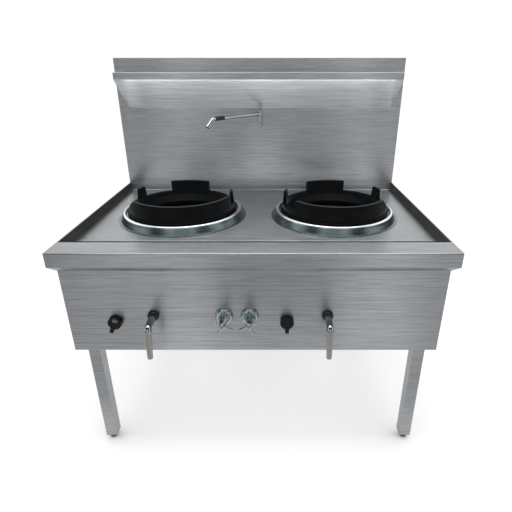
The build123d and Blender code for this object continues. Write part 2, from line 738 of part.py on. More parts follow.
def make_lining(x):
    """Cast refractory bowl that stands on the drum's floor."""
    outer = DRUM_R - SHEET - CLEAR
    top = DRUM_FLOOR + LINING_DEPTH
    return turned(x, BURNER_Y, (
        (outer, DRUM_FLOOR),
        (outer, top),
        (LINING_MOUTH_R, top),
        (LINING_MOUTH_R, top - LINING_LIP),
        (LINING_FLOOR_R, DRUM_FLOOR + LINING_LIP),
        (LINING_FLOOR_R, DRUM_FLOOR),
    ))


def make_burner(x):
    """Cast burner: mixing tube, head with rings of jets, and three arms that stand on the drum's floor."""
    foot_r = DRUM_HOLE_R + LINING_LIP
    throat = DRUM_FLOOR - MIXER_DROP
    with BuildPart() as burner:
        with BuildSketch(lathe_plane(x, BURNER_Y)):
            with BuildLine():
                Polyline(
                    (0, HEAD_Z + BURNER_THICK),
                    (BURNER_R - EDGE, HEAD_Z + BURNER_THICK),
                    (BURNER_R, HEAD_Z + BURNER_THICK - EDGE),
                    (BURNER_R, HEAD_Z),
                    (MIXER_R, HEAD_Z - EDGE * 4),
                    (MIXER_R, throat),
                    (MIXER_BORE_R, throat),
                    (MIXER_BORE_R, HEAD_Z),
                    (0, HEAD_Z),
                    close=True,
                )
            make_face()
        revolve(axis=upright(x, BURNER_Y))
        # arms reach from the mixing tube to the drum's floor
        with BuildSketch(Plane.XY.offset(DRUM_FLOOR) * Pos(x, BURNER_Y, 0)):
            with PolarLocations((foot_r + MIXER_R) / 2 - EDGE, 3, start_angle=90):
                Rectangle(foot_r - MIXER_R + 2 * EDGE, BURNER_ARM)
            Circle(MIXER_R - EDGE, mode=Mode.SUBTRACT)
        extrude(amount=EDGE * 3)
        # jets
        with BuildSketch(Plane.XY.offset(HEAD_Z + BURNER_THICK) * Pos(x, BURNER_Y, 0)):
            for radius, count in zip(JET_CIRCLES, JET_COUNTS):
                with PolarLocations(radius, count):
                    RegularPolygon(JET_R, 6)
            RegularPolygon(JET_R, 6)
        extrude(amount=JET_HEIGHT, taper=4)
        with BuildSketch(Plane.XY.offset(JET_TOP) * Pos(x, BURNER_Y, 0)):
            for radius, count in zip(JET_CIRCLES, JET_COUNTS):
                with PolarLocations(radius, count):
                    Circle(JET_BORE_R)
            Circle(JET_BORE_R)
        extrude(amount=-JET_HEIGHT / 2, mode=Mode.SUBTRACT)
    return burner.part


def make_injectors():
    """Brass injectors, one on the upturned end of each gas supply pipe."""
    base = SUPPLY_Z + SUPPLY_R
    with BuildPart() as injectors:
        with BuildSketch(Plane.XY.offset(base)):
            with Locations(*[(x, BURNER_Y) for x in BURNERS.values()]):
                RegularPolygon(INJECTOR_R, 6)
        extrude(amount=INJECTOR_HEIGHT / 2)
        with BuildSketch(Plane.XY.offset(base + INJECTOR_HEIGHT / 2)):
            with Locations(*[(x, BURNER_Y) for x in BURNERS.values()]):
                Circle(INJECTOR_R * 0.7)
        extrude(amount=INJECTOR_HEIGHT / 2, taper=12)
        with BuildSketch(Plane.XY.offset(base + INJECTOR_HEIGHT)):
            with Locations(*[(x, BURNER_Y) for x in BURNERS.values()]):
                Circle(INJECTOR_BORE_R)
        extrude(amount=-INJECTOR_HEIGHT / 2, mode=Mode.SUBTRACT)
    return injectors.part


def pilot_place(side):
    """Pilot stands in front of the burner head."""
    return BURNERS[side], BURNER_Y - PILOT_RADIUS


def make_pilot_burners():
    base = HEAD_Z - PILOT_R * 3
    with BuildPart() as pilots:
        with BuildSketch(Plane.XY.offset(base)):
            with Locations(*[pilot_place(side) for side in SIDES]):
                Circle(PILOT_R)
        extrude(amount=PILOT_HEIGHT)
        with BuildSketch(Plane.XY.offset(base + PILOT_HEIGHT)):
            with Locations(*[pilot_place(side) for side in SIDES]):
                Circle(PILOT_R * 0.5)
        extrude(amount=-PILOT_HEIGHT / 2, mode=Mode.SUBTRACT)
    return pilots.part


# ---- Gas train ----
def make_manifold():
    """Gas rail behind the panel with a riser to each valve, and its run back to the inlet under the body."""
    left_end = min(KNOB_X) - GAS_PIPE_R * 2
    with BuildPart() as manifold:
        with BuildLine() as route:
            FilletPolyline(
                (left_end, MANIFOLD_Y, MANIFOLD_Z),
                (GAS_RUN_X, MANIFOLD_Y, MANIFOLD_Z),
                (GAS_RUN_X, FRONT + INLET_BACK, MANIFOLD_Z),
                (GAS_RUN_X, FRONT + INLET_BACK, INLET_Z),
                radius=GAS_PIPE_R * 2,
            )
        with BuildSketch(Plane(origin=route.line @ 0, z_dir=route.line % 0)):
            Circle(GAS_PIPE_R)
        sweep()
        with BuildSketch(Plane.XY.offset(MANIFOLD_Z)):
            with Locations(*[(x, MANIFOLD_Y) for x in LEVER_X]):
                Circle(SUPPLY_R)
        extrude(amount=LEVER_Z - MAIN_VALVE_R - MANIFOLD_Z)
        with BuildSketch(Plane.XY.offset(MANIFOLD_Z)):
            with Locations(*[(x, PILOT_RISER_Y) for x in KNOB_X]):
                Circle(SUPPLY_R * 0.7)
        extrude(amount=KNOB_Z - PILOT_VALVE_R - MANIFOLD_Z)
        with BuildSketch(Plane.XY.offset(INLET_Z)):
            with Locations((GAS_RUN_X, FRONT + INLET_BACK)):
                Circle(GAS_BORE_R)
        extrude(amount=INLET_BORE, mode=Mode.SUBTRACT)
    return manifold.part


def valve(x, z, body_r, length, spindle_r, inlet_y, inlet_r):
    """Brass valve body behind the panel: gland nut, barrel, hexagon outlet and a flat pad for its riser."""
    nut = length * 0.18
    with BuildPart() as body:
        with BuildSketch(panel_plane(x, z, PANEL_IN)):
            RegularPolygon(body_r * 0.92, 6)
        extrude(amount=-nut)
        with BuildSketch(panel_plane(x, z, PANEL_IN + nut)):
            Circle(body_r * 0.86)
        extrude(amount=-(length - 2 * nut))
        with BuildSketch(panel_plane(x, z, PANEL_IN + length - nut)):
            RegularPolygon(body_r * 0.8, 6)
        extrude(amount=-nut)
        with BuildSketch(Plane.XY.offset(z - body_r)):
            with Locations((x, inlet_y)):
                Circle(inlet_r)
        extrude(amount=body_r)
        with BuildSketch(panel_plane(x, z, PANEL_IN)):
            Circle(spindle_r + SPINDLE_FIT)
        extrude(amount=-length * SPINDLE_SHARE, mode=Mode.SUBTRACT)
    return body.part


def make_main_valve(x):
    return valve(x, LEVER_Z, MAIN_VALVE_R, MAIN_VALVE_LENGTH, LEVER_SPINDLE_R, MANIFOLD_Y, SUPPLY_R)


def make_pilot_valve(x):
    return valve(x, KNOB_Z, PILOT_VALVE_R, PILOT_VALVE_LENGTH, KNOB_SPINDLE_R, PILOT_RISER_Y, SUPPLY_R * 0.7)


def make_supply_pipe(side, lever_x):
    burner_x = BURNERS[side]
    with BuildPart() as supply:
        with BuildLine() as route:
            FilletPolyline(
                (lever_x, VALVE_BACK, LEVER_Z),
                (lever_x, FRONT + SUPPLY_BACK, LEVER_Z),
                (lever_x, FRONT + SUPPLY_BACK, SUPPLY_Z),
                (burner_x, BURNER_Y + SUPPLY_R, SUPPLY_Z),
                radius=SUPPLY_R * 2,
            )
        with BuildSketch(Plane(origin=route.line @ 0, z_dir=route.line % 0)):
            Circle(SUPPLY_R)
        sweep()
        # capped end with a pad under the injector
        with BuildSketch(Plane.XY.offset(SUPPLY_Z)):
            with Locations((burner_x, BURNER_Y)):
                Circle(INJECTOR_R)
        extrude(amount=SUPPLY_R)
    return supply.part


def make_pilot_pipes():
    with BuildPart() as pipes:
        for side, knob_x in zip(SIDES, KNOB_X):
            pilot_x, pilot_y = pilot_place(side)
            with BuildLine() as route:
                FilletPolyline(
                    (knob_x, PILOT_VALVE_BACK, KNOB_Z),
                    (knob_x, FRONT + PILOT_BACK, KNOB_Z),
                    (knob_x, FRONT + PILOT_BACK, KNOB_Z - PILOT_FALL),
                    (pilot_x, pilot_y, KNOB_Z - PILOT_FALL),
                    (pilot_x, pilot_y, HEAD_Z - PILOT_R * 3),
                    radius=PILOT_PIPE_R * 3,
                )
            with BuildSketch(Plane(origin=route.line @ 0, z_dir=route.line % 0)):
                Circle(PILOT_PIPE_R)
            sweep()
    return pipes.part


# ---- Front controls ----
def make_knob(x, turn):
    """Knob: round body, a raised pointer bar whose nose hangs below the body, and its spindle."""
    back = PANEL - CLEAR
    face = back - KNOB_SKIRT
    front = face - KNOB_GRIP
    with BuildPart() as bar:
        # the bar's outline from the front, cut to its profile from the side
        with BuildSketch(panel_plane(x, KNOB_Z, back)):
            with BuildLine():
                Polyline(
                    (-KNOB_GRIP_W / 2, KNOB_GRIP_R),
                    (KNOB_GRIP_W / 2, KNOB_GRIP_R),
                    (KNOB_NOSE_W / 2, -KNOB_NOSE),
                    (-KNOB_NOSE_W / 2, -KNOB_NOSE),
                    close=True,
                )
            make_face()
        extrude(amount=KNOB_SKIRT + KNOB_GRIP)
        with BuildSketch(Plane.YZ.offset(x)):
            with BuildLine():
                Polyline(
                    (back, KNOB_Z),
                    (back, KNOB_Z - KNOB_GRIP_R),
                    (front + KNOB_GRIP, KNOB_Z - KNOB_NOSE),
                    (front, KNOB_Z - KNOB_NOSE),
                    (front, KNOB_Z + KNOB_GRIP_R - KNOB_GRIP / 2),
                    (face, KNOB_Z + KNOB_GRIP_R),
                    close=True,
                )
            make_face()
        extrude(amount=KNOB_GRIP_W, both=True, mode=Mode.INTERSECT)
    with BuildPart() as knob:
        with BuildSketch(panel_plane(x, KNOB_Z, back)):
            Circle(KNOB_SKIRT_R)
        extrude(amount=KNOB_SKIRT, taper=3)
        fillet(knob.edges().group_by(Axis.Y)[0], radius=EDGE)
        add(bar.part)
        with BuildSketch(panel_plane(x, KNOB_Z, back)):
            Circle(KNOB_SPINDLE_R)
        extrude(amount=-(SHEET + CLEAR + PILOT_VALVE_LENGTH * SPINDLE_SHARE - EDGE))
    return knob.part.rotate(Axis((x, PANEL, KNOB_Z), (0, 1, 0)), turn)


def make_lever_bosses():
    """Dark domed bosses on the panel that carry the lever shafts."""
    with BuildPart() as bosses:
        with BuildSketch(Plane.XZ.offset(-PANEL)):
            with Locations(*[(x, LEVER_Z) for x in LEVER_X]):
                Circle(BOSS_R)
        extrude(amount=BOSS_THICK)
        fillet(bosses.edges().group_by(Axis.Y)[0], radius=BOSS_ROUND)
        with BuildSketch(Plane.XZ.offset(-PANEL)):
            with Locations(*[(x, LEVER_Z) for x in LEVER_X]):
                Circle(LEVER_SPINDLE_R + SPINDLE_FIT)
        extrude(amount=BOSS_THICK, mode=Mode.SUBTRACT)
    return bosses.part


def handle_top(x):
    """Plane across the end of the lever's shaft; it looks down along the handle."""
    knee = Vector(x, PANEL - LEVER_OUT, LEVER_Z - LEVER_FALL)
    along = Vector(0, -sin(LEAN), -cos(LEAN))
    return Plane(origin=knee + along * KNEE_LENGTH, x_dir=(1, 0, 0), z_dir=along)


def make_lever_shaft(x):
    """Chrome shaft: spindle into the valve, stub with a collar, a bar to the knee and a ring at its end."""
    start = PANEL - BOSS_THICK - CLEAR
    stub_end = start - LEVER_STUB
    with BuildPart() as shaft:
        with BuildLine() as route:
            FilletPolyline(
                (x, start, LEVER_Z),
                (x, stub_end, LEVER_Z),
                (x, PANEL - LEVER_OUT, LEVER_Z - LEVER_FALL),
                handle_top(x).origin,
                radius=LEVER_BEND,
            )
        with BuildSketch(Plane(origin=route.line @ 0, z_dir=route.line % 0)):
            Circle(LEVER_SHAFT_R)
        sweep()
        with BuildSketch(panel_plane(x, LEVER_Z, stub_end + LEVER_COLLAR)):
            Circle(LEVER_COLLAR_R)
        extrude(amount=LEVER_COLLAR)
        with BuildSketch(handle_top(x)):
            Circle(KNEE_R)
        extrude(amount=-KNEE_RING)
        with BuildSketch(panel_plane(x, LEVER_Z, start)):
            Circle(LEVER_SPINDLE_R)
        extrude(amount=-(BOSS_THICK + SHEET + CLEAR + MAIN_VALVE_LENGTH * SPINDLE_SHARE - EDGE))
    return shaft.part


def make_lever_handle(x):
    """Satin handle that hangs from the knee, tapered to a rounded end."""
    top = handle_top(x)
    with BuildPart() as handle:
        with BuildSketch(Plane(origin=top.origin, x_dir=top.x_dir, z_dir=top.y_dir)):
            with BuildLine():
                Polyline(
                    (0, 0),
                    (HANDLE_TOP_R, 0),
                    (HANDLE_END_R, -HANDLE_LENGTH),
                    (0, -HANDLE_LENGTH),
                    close=True,
                )
            make_face()
        revolve(axis=Axis(top.origin, top.z_dir))
        fillet(handle.edges().sort_by(Axis.Z)[0], radius=HANDLE_ROUND)
    return handle.part


def make_escutcheons():
    """Domed chrome plates on the panel around the tap necks."""
    with BuildPart() as plates:
        with BuildSketch(Plane.XZ.offset(-PANEL)):
            with Locations(*[(x, TAP_Z) for x in TAP_X]):
                Circle(ESCUTCHEON_R)
        extrude(amount=ESCUTCHEON_THICK)
        fillet(plates.edges().group_by(Axis.Y)[0], radius=ESCUTCHEON_THICK * 0.8)
        with BuildSketch(Plane.XZ.offset(-PANEL)):
            with Locations(*[(x, TAP_Z) for x in TAP_X]):
                Circle(TAP_NECK_R + CLEAR)
        extrude(amount=ESCUTCHEON_THICK, mode=Mode.SUBTRACT)
    return plates.part


def make_tap_body(x):
    """Brass tap behind the panel with a chrome neck that comes through it."""
    nut = TAP_BODY_LENGTH * 0.2
    with BuildPart() as body:
        with BuildSketch(panel_plane(x, TAP_Z, TAP_BODY_BACK)):
            Circle(TAP_BODY_R * 0.85)
        extrude(amount=TAP_BODY_LENGTH)
        with BuildSketch(panel_plane(x, TAP_Z, PANEL_IN + nut)):
            RegularPolygon(TAP_BODY_R * 1.1, 6)
        extrude(amount=nut)
        with BuildSketch(panel_plane(x, TAP_Z, PANEL_IN)):
            Circle(TAP_NECK_R)
        extrude(amount=SHEET + TAP_NECK)
        with BuildSketch(Plane.XY.offset(TAP_Z - TAP_BODY_R)):
            with Locations((x, WATER_Y)):
                Circle(WATER_R)
        extrude(amount=TAP_BODY_R)
        with BuildSketch(panel_plane(x, TAP_Z, PANEL - TAP_NECK)):
            Circle(TAP_SPINDLE_R + SPINDLE_FIT)
        extrude(amount=-TAP_NECK, mode=Mode.SUBTRACT)
    return body.part


def make_tap_handle(x, turn):
    """Cross handle: spindle, hub and four round-ended arms, at the photographed turn."""
    hub_back = PANEL - TAP_NECK - TAP_GAP
    arm_y = hub_back - TAP_HUB / 2
    tip = TAP_SPAN / 2 - TAP_ARM_R
    with BuildPart() as handle:
        with BuildSketch(panel_plane(x, TAP_Z, hub_back)):
            Circle(TAP_HUB_R)
        extrude(amount=TAP_HUB)
        fillet(handle.edges().group_by(Axis.Y)[0], radius=TAP_HUB_R / 2)
        with BuildSketch(panel_plane(x, TAP_Z, hub_back)):
            Circle(TAP_SPINDLE_R)
        extrude(amount=-(TAP_GAP + TAP_NECK - EDGE))
        for quarter in range(4):
            angle = radians(turn + 90 * quarter)
            out = Vector(cos(angle), 0, sin(angle))
            centre = Vector(x, arm_y, TAP_Z)
            with BuildSketch(Plane(origin=centre, z_dir=out)):
                Circle(TAP_ARM_R)
            extrude(amount=tip)
            with Locations(centre + out * tip):
                Sphere(TAP_ARM_R)
    return handle.part


# ---- Water ----
def make_water_supply():
    """Cold water: inlet under the body, a run forward between the chambers and a tee to both taps."""
    run_x = sum(TAP_X) / 2
    run_z = TOP - WATER_DROP
    with BuildPart() as supply:
        with BuildLine() as route:
            FilletPolyline(
                (run_x, FRONT + INLET_BACK, INLET_Z),
                (run_x, FRONT + INLET_BACK, run_z),
                (run_x, WATER_Y, run_z),
                radius=WATER_R * 2.5,
            )
        with BuildSketch(Plane(origin=route.line @ 0, z_dir=route.line % 0)):
            Circle(WATER_R)
        sweep()
        with BuildSketch(Plane.YZ.offset(TAP_X[0] - WATER_R)):
            with Locations((WATER_Y, run_z)):
                Circle(WATER_R)
        extrude(amount=TAP_X[1] - TAP_X[0] + 2 * WATER_R)
        with BuildSketch(Plane.XY.offset(run_z)):
            with Locations(*[(x, WATER_Y) for x in TAP_X]):
                Circle(WATER_R - EDGE / 2)
        extrude(amount=TAP_Z - TAP_BODY_R - run_z)
        with BuildSketch(Plane.XY.offset(INLET_Z)):
            with Locations((run_x, FRONT + INLET_BACK)):
                Circle(WATER_BORE_R)
        extrude(amount=INLET_BORE, mode=Mode.SUBTRACT)
    return supply.part


def make_spout_feed():
    """From the left tap back between the chambers, up through the ledge and to the wall elbow."""
    return pipe(
        (
            (TAP_X[0], TAP_BODY_BACK, TAP_Z),
            (TAP_X[0], FRONT + FEED_BACK, TAP_Z),
            (SPOUT_X, FRONT + FEED_BACK, TAP_Z),
            (SPOUT_X, FEED_RISE, TAP_Z),
            (SPOUT_X, FEED_RISE, ELBOW_Z),
            (SPOUT_X, ELBOW_START, ELBOW_Z),
        ),
        WATER_R * 1.6,
        WATER_R,
    )


def make_deck_feed():
    """From the right tap back to a cross pipe below the ledge that feeds the deck nozzles."""
    nozzle_z = TOP - NOZZLE_DROP
    with BuildPart() as feed:
        with BuildLine() as route:
            FilletPolyline(
                (TAP_X[1], TAP_BODY_BACK, TAP_Z),
                (TAP_X[1], FRONT + DECK_FEED_BACK, TAP_Z),
                (DECK_FEED_X, FRONT + DECK_FEED_BACK, TAP_Z),
                (DECK_FEED_X, DECK_RISE, TAP_Z),
                (DECK_FEED_X, DECK_RISE, nozzle_z),
                radius=DECK_PIPE_R * 1.6,
            )
        with BuildSketch(Plane(origin=route.line @ 0, z_dir=route.line % 0)):
            Circle(DECK_PIPE_R)
        sweep()
        with BuildSketch(Plane.YZ.offset(-BURNER_X - DECK_PIPE_R)):
            with Locations((DECK_RISE, nozzle_z)):
                Circle(DECK_BAR_R)
        extrude(amount=2 * (BURNER_X + DECK_PIPE_R))
        # stubs that meet the nozzles
        with BuildSketch(Plane.XZ.offset(-DECK_RISE)):
            with Locations(*[(x, nozzle_z) for x in BURNERS.values()]):
                Circle(NOZZLE_R - EDGE / 4)
        extrude(amount=DECK_RISE - NOZZLE_Y)
    return feed.part


def make_deck_nozzles():
    """Short brass nozzles through the pan's rear upstand, one behind each wok ring."""
    nozzle_z = TOP - NOZZLE_DROP
    with BuildPart() as nozzles:
        with BuildSketch(Plane.XZ.offset(-NOZZLE_Y)):
            with Locations(*[(x, nozzle_z) for x in BURNERS.values()]):
                Circle(NOZZLE_R)
        extrude(amount=NOZZLE_Y - SPLASH_FACE + NOZZLE_OUT)
        with BuildSketch(Plane.XZ.offset(-(SPLASH_FACE - NOZZLE_OUT))):
            with Locations(*[(x, nozzle_z) for x in BURNERS.values()]):
                Circle(NOZZLE_BORE_R)
        extrude(amount=-NOZZLE_OUT, mode=Mode.SUBTRACT)
    return nozzles.part


def make_spout_elbow():
    """Wall elbow and riser; the arm's barrel turns on the spigot at its top."""
    with BuildPart() as elbow:
        with BuildLine() as route:
            FilletPolyline(
                (SPOUT_X, ELBOW_START, ELBOW_Z),
                (SPOUT_X, SPOUT_Y, ELBOW_Z),
                (SPOUT_X, SPOUT_Y, RISER_TOP),
                radius=SPOUT_R * 1.5,
            )
        with BuildSketch(Plane(origin=route.line @ 0, z_dir=route.line % 0)):
            Circle(SPOUT_R)
        sweep()
        with BuildSketch(Plane.XY.offset(RISER_TOP)):
            with Locations((SPOUT_X, SPOUT_Y)):
                Circle(SPIGOT_R)
        extrude(amount=SPIGOT_LENGTH)
    return elbow.part


def arm_point(distance, drop=0.0):
    angle = radians(SPOUT_TURN)
    return Vector(SPOUT_X + distance * cos(angle), SPOUT_Y + distance * sin(angle), ARM_Z - drop)


def arm_plane(distance):
    along = arm_point(1) - arm_point(0)
    return Plane(origin=arm_point(distance), z_dir=along)


def make_spout_arm():
    """Barrel on the riser, arm, collar and a nozzle that turns down at a slant, with an aerator tip."""
    with BuildPart() as arm:
        with BuildSketch(Plane.XY.offset(RISER_TOP + CLEAR)):
            with Locations((SPOUT_X, SPOUT_Y)):
                Circle(BARREL_R)
        extrude(amount=BARREL_LENGTH)
        fillet(arm.edges().group_by(Axis.Z)[-1], radius=EDGE)
        with BuildLine() as route:
            FilletPolyline(
                arm_point(0),
                arm_point(SPOUT_ARM_LENGTH),
                arm_point(SPOUT_ARM_LENGTH + NOZZLE_REACH, NOZZLE_FALL),
                radius=SPOUT_ARM_R * 1.5,
            )
        with BuildSketch(Plane(origin=route.line @ 0, z_dir=route.line % 0)):
            Circle(SPOUT_ARM_R)
        sweep()
        # collar in front of the sleeve
        with BuildSketch(arm_plane(SLEEVE_START - COLLAR_BAND)):
            Circle(SLEEVE_R + EDGE / 2)
        extrude(amount=COLLAR_BAND)
        tip = Plane(origin=route.line @ 1, z_dir=route.line % 1)
        with BuildSketch(tip.offset(-EDGE)):
            Circle(NOZZLE_TIP_R)
        extrude(amount=NOZZLE_TIP)
        with BuildSketch(tip.offset(NOZZLE_TIP - EDGE)):
            Circle(NOZZLE_TIP_R - SHEET)
        extrude(amount=-NOZZLE_TIP / 2, mode=Mode.SUBTRACT)
        with BuildSketch(Plane.XY.offset(RISER_TOP)):
            with Locations((SPOUT_X, SPOUT_Y)):
                Circle(SPIGOT_R + SPINDLE_FIT)
        extrude(amount=SPIGOT_LENGTH + 2 * CLEAR, mode=Mode.SUBTRACT)
        # the sleeve's place is turned down
        with BuildSketch(arm_plane(SLEEVE_START)):
            Circle(SLEEVE_R + EDGE)
            Circle(SPOUT_ARM_R - EDGE / 2, mode=Mode.SUBTRACT)
        extrude(amount=SLEEVE_LENGTH, mode=Mode.SUBTRACT)
    return arm.part


def make_spout_sleeve():
    with BuildPart() as sleeve:
        with BuildSketch(arm_plane(SLEEVE_START)):
            Circle(SLEEVE_R)
            Circle(SPOUT_ARM_R - EDGE / 2 + CLEAR / 10, mode=Mode.SUBTRACT)
        extrude(amount=SLEEVE_LENGTH)
    return sleeve.part


def make_waste_outlet():
    """Waste cup under the gutter with a flange below the sheet, and its down pipe."""
    under = GUTTER - SHEET
    foot = under - WASTE_CUP
    return turned(WASTE_X, GUTTER_MIDDLE, (
        (WASTE_CUP_R, under),
        (WASTE_CUP_R, foot),
        (WASTE_PIPE_R, foot - (WASTE_CUP_R - WASTE_PIPE_R)),
        (WASTE_PIPE_R, TOP - WASTE_DROP),
        (WASTE_PIPE_R - WASTE_WALL, TOP - WASTE_DROP),
        (WASTE_PIPE_R - WASTE_WALL, foot - (WASTE_CUP_R - WASTE_PIPE_R)),
        (WASTE_CUP_R - WASTE_WALL, foot),
        (WASTE_CUP_R - WASTE_WALL, under),
    ))


def make_strainer():
    """Lift-out basket: flange on the gutter floor, cup with slots and a grip knob in the middle."""
    base = GUTTER + BASKET_WALL - BASKET_DEPTH
    with BuildPart() as basket:
        with BuildSketch(lathe_plane(WASTE_X, GUTTER_MIDDLE)):
            with BuildLine():
                Polyline(
                    (0, base),
                    (BASKET_R, base),
                    (BASKET_R, GUTTER),
                    (BASKET_FLANGE_R, GUTTER),
                    (BASKET_FLANGE_R, GUTTER + BASKET_WALL),
                    (BASKET_R - BASKET_WALL, GUTTER + BASKET_WALL),
                    (BASKET_R - BASKET_WALL, base + BASKET_WALL),
                    (BASKET_GRIP_R / 2, base + BASKET_WALL),
                    (BASKET_GRIP_R / 2, GUTTER - BASKET_GRIP_R * 2),
                    (BASKET_GRIP_R, GUTTER - BASKET_GRIP_R * 2),
                    (BASKET_GRIP_R, GUTTER - BASKET_GRIP_R),
                    (0, GUTTER - BASKET_GRIP_R),
                    close=True,
                )
            make_face()
        revolve(axis=upright(WASTE_X, GUTTER_MIDDLE))
        with BuildSketch(Plane.XY.offset(base) * Pos(WASTE_X, GUTTER_MIDDLE, 0)):
            with PolarLocations((BASKET_R + BASKET_GRIP_R) / 2, BASKET_SLOTS):
                SlotOverall(BASKET_R - 3 * BASKET_GRIP_R, BASKET_SLOT_W)
        extrude(amount=BASKET_WALL, mode=Mode.SUBTRACT)
    return basket.part


# ---- Write every piece ----
save(make_worktop(), "worktop")
save(make_front_panel(), "front_panel")
save(make_rear_panel(), "rear_panel")
save(make_rear_screws(), "rear_screws")
save(make_splashback(), "splashback")
save(make_splash_cover(), "splashback_cover")
save(make_shelf(), "splashback_shelf")
save(make_rails(), "leg_rails")
save(make_leg_plugs(), "leg_plugs")
save(make_injectors(), "gas_injectors")
save(make_pilot_burners(), "pilot_burners")
save(make_manifold(), "gas_manifold")
save(make_pilot_pipes(), "pilot_pipes")
save(make_lever_bosses(), "lever_bosses")
save(make_escutcheons(), "tap_escutcheons")
save(make_water_supply(), "water_supply_pipe")
save(make_spout_feed(), "spout_feed_pipe")
save(make_deck_feed(), "deck_feed_pipe")
save(make_deck_nozzles(), "deck_nozzles")
save(make_spout_elbow(), "spout_elbow")
save(make_spout_arm(), "spout_arm")
save(make_spout_sleeve(), "spout_sleeve")
save(make_waste_outlet(), "waste_outlet")
save(make_strainer(), "strainer_basket")

for sign, side in zip((-1, 1), SIDES):
    save(make_side_panel(sign), f"side_panel_{side}")
    for end in LEG_Y:
        save(make_leg(sign, end), f"leg_{end}_{side}")
        save(make_foot(sign, end), f"foot_{end}_{side}")

for index, side in enumerate(SIDES):
    burner_x = BURNERS[side]
    save(make_collar(burner_x), f"burner_collar_{side}")
    vents = ring_vents(LUG_MIDDLES[index], SHIELD_MIDDLES[index], SHIELD_SPANS[index])
    save(make_wok_ring(burner_x, vents), f"wok_ring_{side}")
    save(make_drum(burner_x), f"chamber_drum_{side}")
    save(make_lining(burner_x), f"chamber_lining_{side}")
    save(make_burner(burner_x), f"burner_{side}")
    save(make_supply_pipe(side, LEVER_X[index]), f"gas_supply_pipe_{side}")
    save(make_main_valve(LEVER_X[index]), f"main_valve_{side}")
    save(make_pilot_valve(KNOB_X[index]), f"pilot_valve_{side}")
    save(make_knob(KNOB_X[index], KNOB_TURN[index]), f"gas_knob_{side}")
    save(make_lever_shaft(LEVER_X[index]), f"lever_shaft_{side}")
    save(make_lever_handle(LEVER_X[index]), f"lever_handle_{side}")
    save(make_tap_body(TAP_X[index]), f"tap_body_{side}")
    save(make_tap_handle(TAP_X[index], TAP_TURN[index]), f"tap_handle_{side}")
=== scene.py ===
import json
import math

import bmesh
import bpy
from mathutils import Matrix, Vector

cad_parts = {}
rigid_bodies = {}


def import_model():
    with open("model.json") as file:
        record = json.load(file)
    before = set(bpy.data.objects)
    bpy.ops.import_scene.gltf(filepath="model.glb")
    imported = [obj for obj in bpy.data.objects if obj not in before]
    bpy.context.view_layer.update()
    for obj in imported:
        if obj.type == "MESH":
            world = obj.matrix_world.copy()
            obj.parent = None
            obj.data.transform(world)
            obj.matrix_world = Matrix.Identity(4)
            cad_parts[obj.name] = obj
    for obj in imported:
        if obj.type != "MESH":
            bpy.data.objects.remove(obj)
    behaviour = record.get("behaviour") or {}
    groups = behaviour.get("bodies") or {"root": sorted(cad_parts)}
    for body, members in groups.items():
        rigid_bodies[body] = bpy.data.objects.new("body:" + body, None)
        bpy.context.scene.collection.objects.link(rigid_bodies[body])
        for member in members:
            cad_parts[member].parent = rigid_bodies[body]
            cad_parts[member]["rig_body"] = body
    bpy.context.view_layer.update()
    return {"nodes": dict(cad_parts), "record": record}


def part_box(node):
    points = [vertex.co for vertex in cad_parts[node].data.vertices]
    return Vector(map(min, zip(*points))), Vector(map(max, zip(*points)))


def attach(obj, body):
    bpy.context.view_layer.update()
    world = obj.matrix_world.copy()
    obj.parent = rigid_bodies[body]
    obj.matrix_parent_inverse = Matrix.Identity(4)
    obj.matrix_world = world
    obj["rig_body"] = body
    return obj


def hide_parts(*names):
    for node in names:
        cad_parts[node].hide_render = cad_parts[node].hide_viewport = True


bl_info = {
    "name": "Wok range finishes",
    "version": (1, 0, 0),
    "blender": (4, 5, 0),
    "location": "3D View > Sidebar > Wok range",
    "description": "Finishes, rounded edges, light and camera for a two-burner gas wok range",
    "category": "Object",
}

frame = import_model()

MM = 0.001
SIDES = ("left", "right")
FINISHES = {}                   # the materials by the record's slots, made on first use

# sockets of Math and Vector Math nodes, which go by number
FIRST, SECOND, THIRD, RESULT = 0, 1, 2, 0
# sockets of a Mix node, which has a pair and a result for each kind of value
FACTOR = 0
NUMBER_A, NUMBER_B, NUMBER_MIXED = 2, 3, 0
VECTOR_A, VECTOR_B, VECTOR_MIXED = 4, 5, 1
COLOUR_A, COLOUR_B, COLOUR_MIXED = 6, 7, 2


def linear(code):
    """Linear colour of an sRGB hex value, by the sRGB curve."""
    parts = [int(code[i:i + 2], 16) / 255 for i in (1, 3, 5)]
    return tuple(c / 12.92 if c <= 0.04045 else ((c + 0.055) / 1.055) ** 2.4 for c in parts)


# ---- Sizes and colours that a user would change ----
class SheetSettings(bpy.types.PropertyGroup):
    """Brushed stainless sheet"""
    colour: bpy.props.FloatVectorProperty(
        name="Sheet colour", description="Face-on colour of the brushed stainless sheet",
        subtype="COLOR", size=3, min=0, max=1, default=linear("#A0A2A4"))
    roughness: bpy.props.FloatProperty(
        name="Sheet roughness", description="Blur of the reflections in the sheet", default=0.34,
        min=0.05, max=1)
    # real brush lines lie a tenth of a millimetre apart; they are drawn coarser, so that they show
    grain: bpy.props.FloatProperty(
        name="Grain pitch", description="Distance between brush lines, drawn wide enough to show",
        default=2.0 * MM, unit="LENGTH", subtype="DISTANCE")
    streak: bpy.props.FloatProperty(
        name="Streak length", description="Length of one brush line", default=240 * MM,
        unit="LENGTH", subtype="DISTANCE")
    edge: bpy.props.FloatProperty(
        name="Fold radius", description="Rounding of the sheared and folded edges", default=1.2 * MM,
        unit="LENGTH", subtype="DISTANCE")


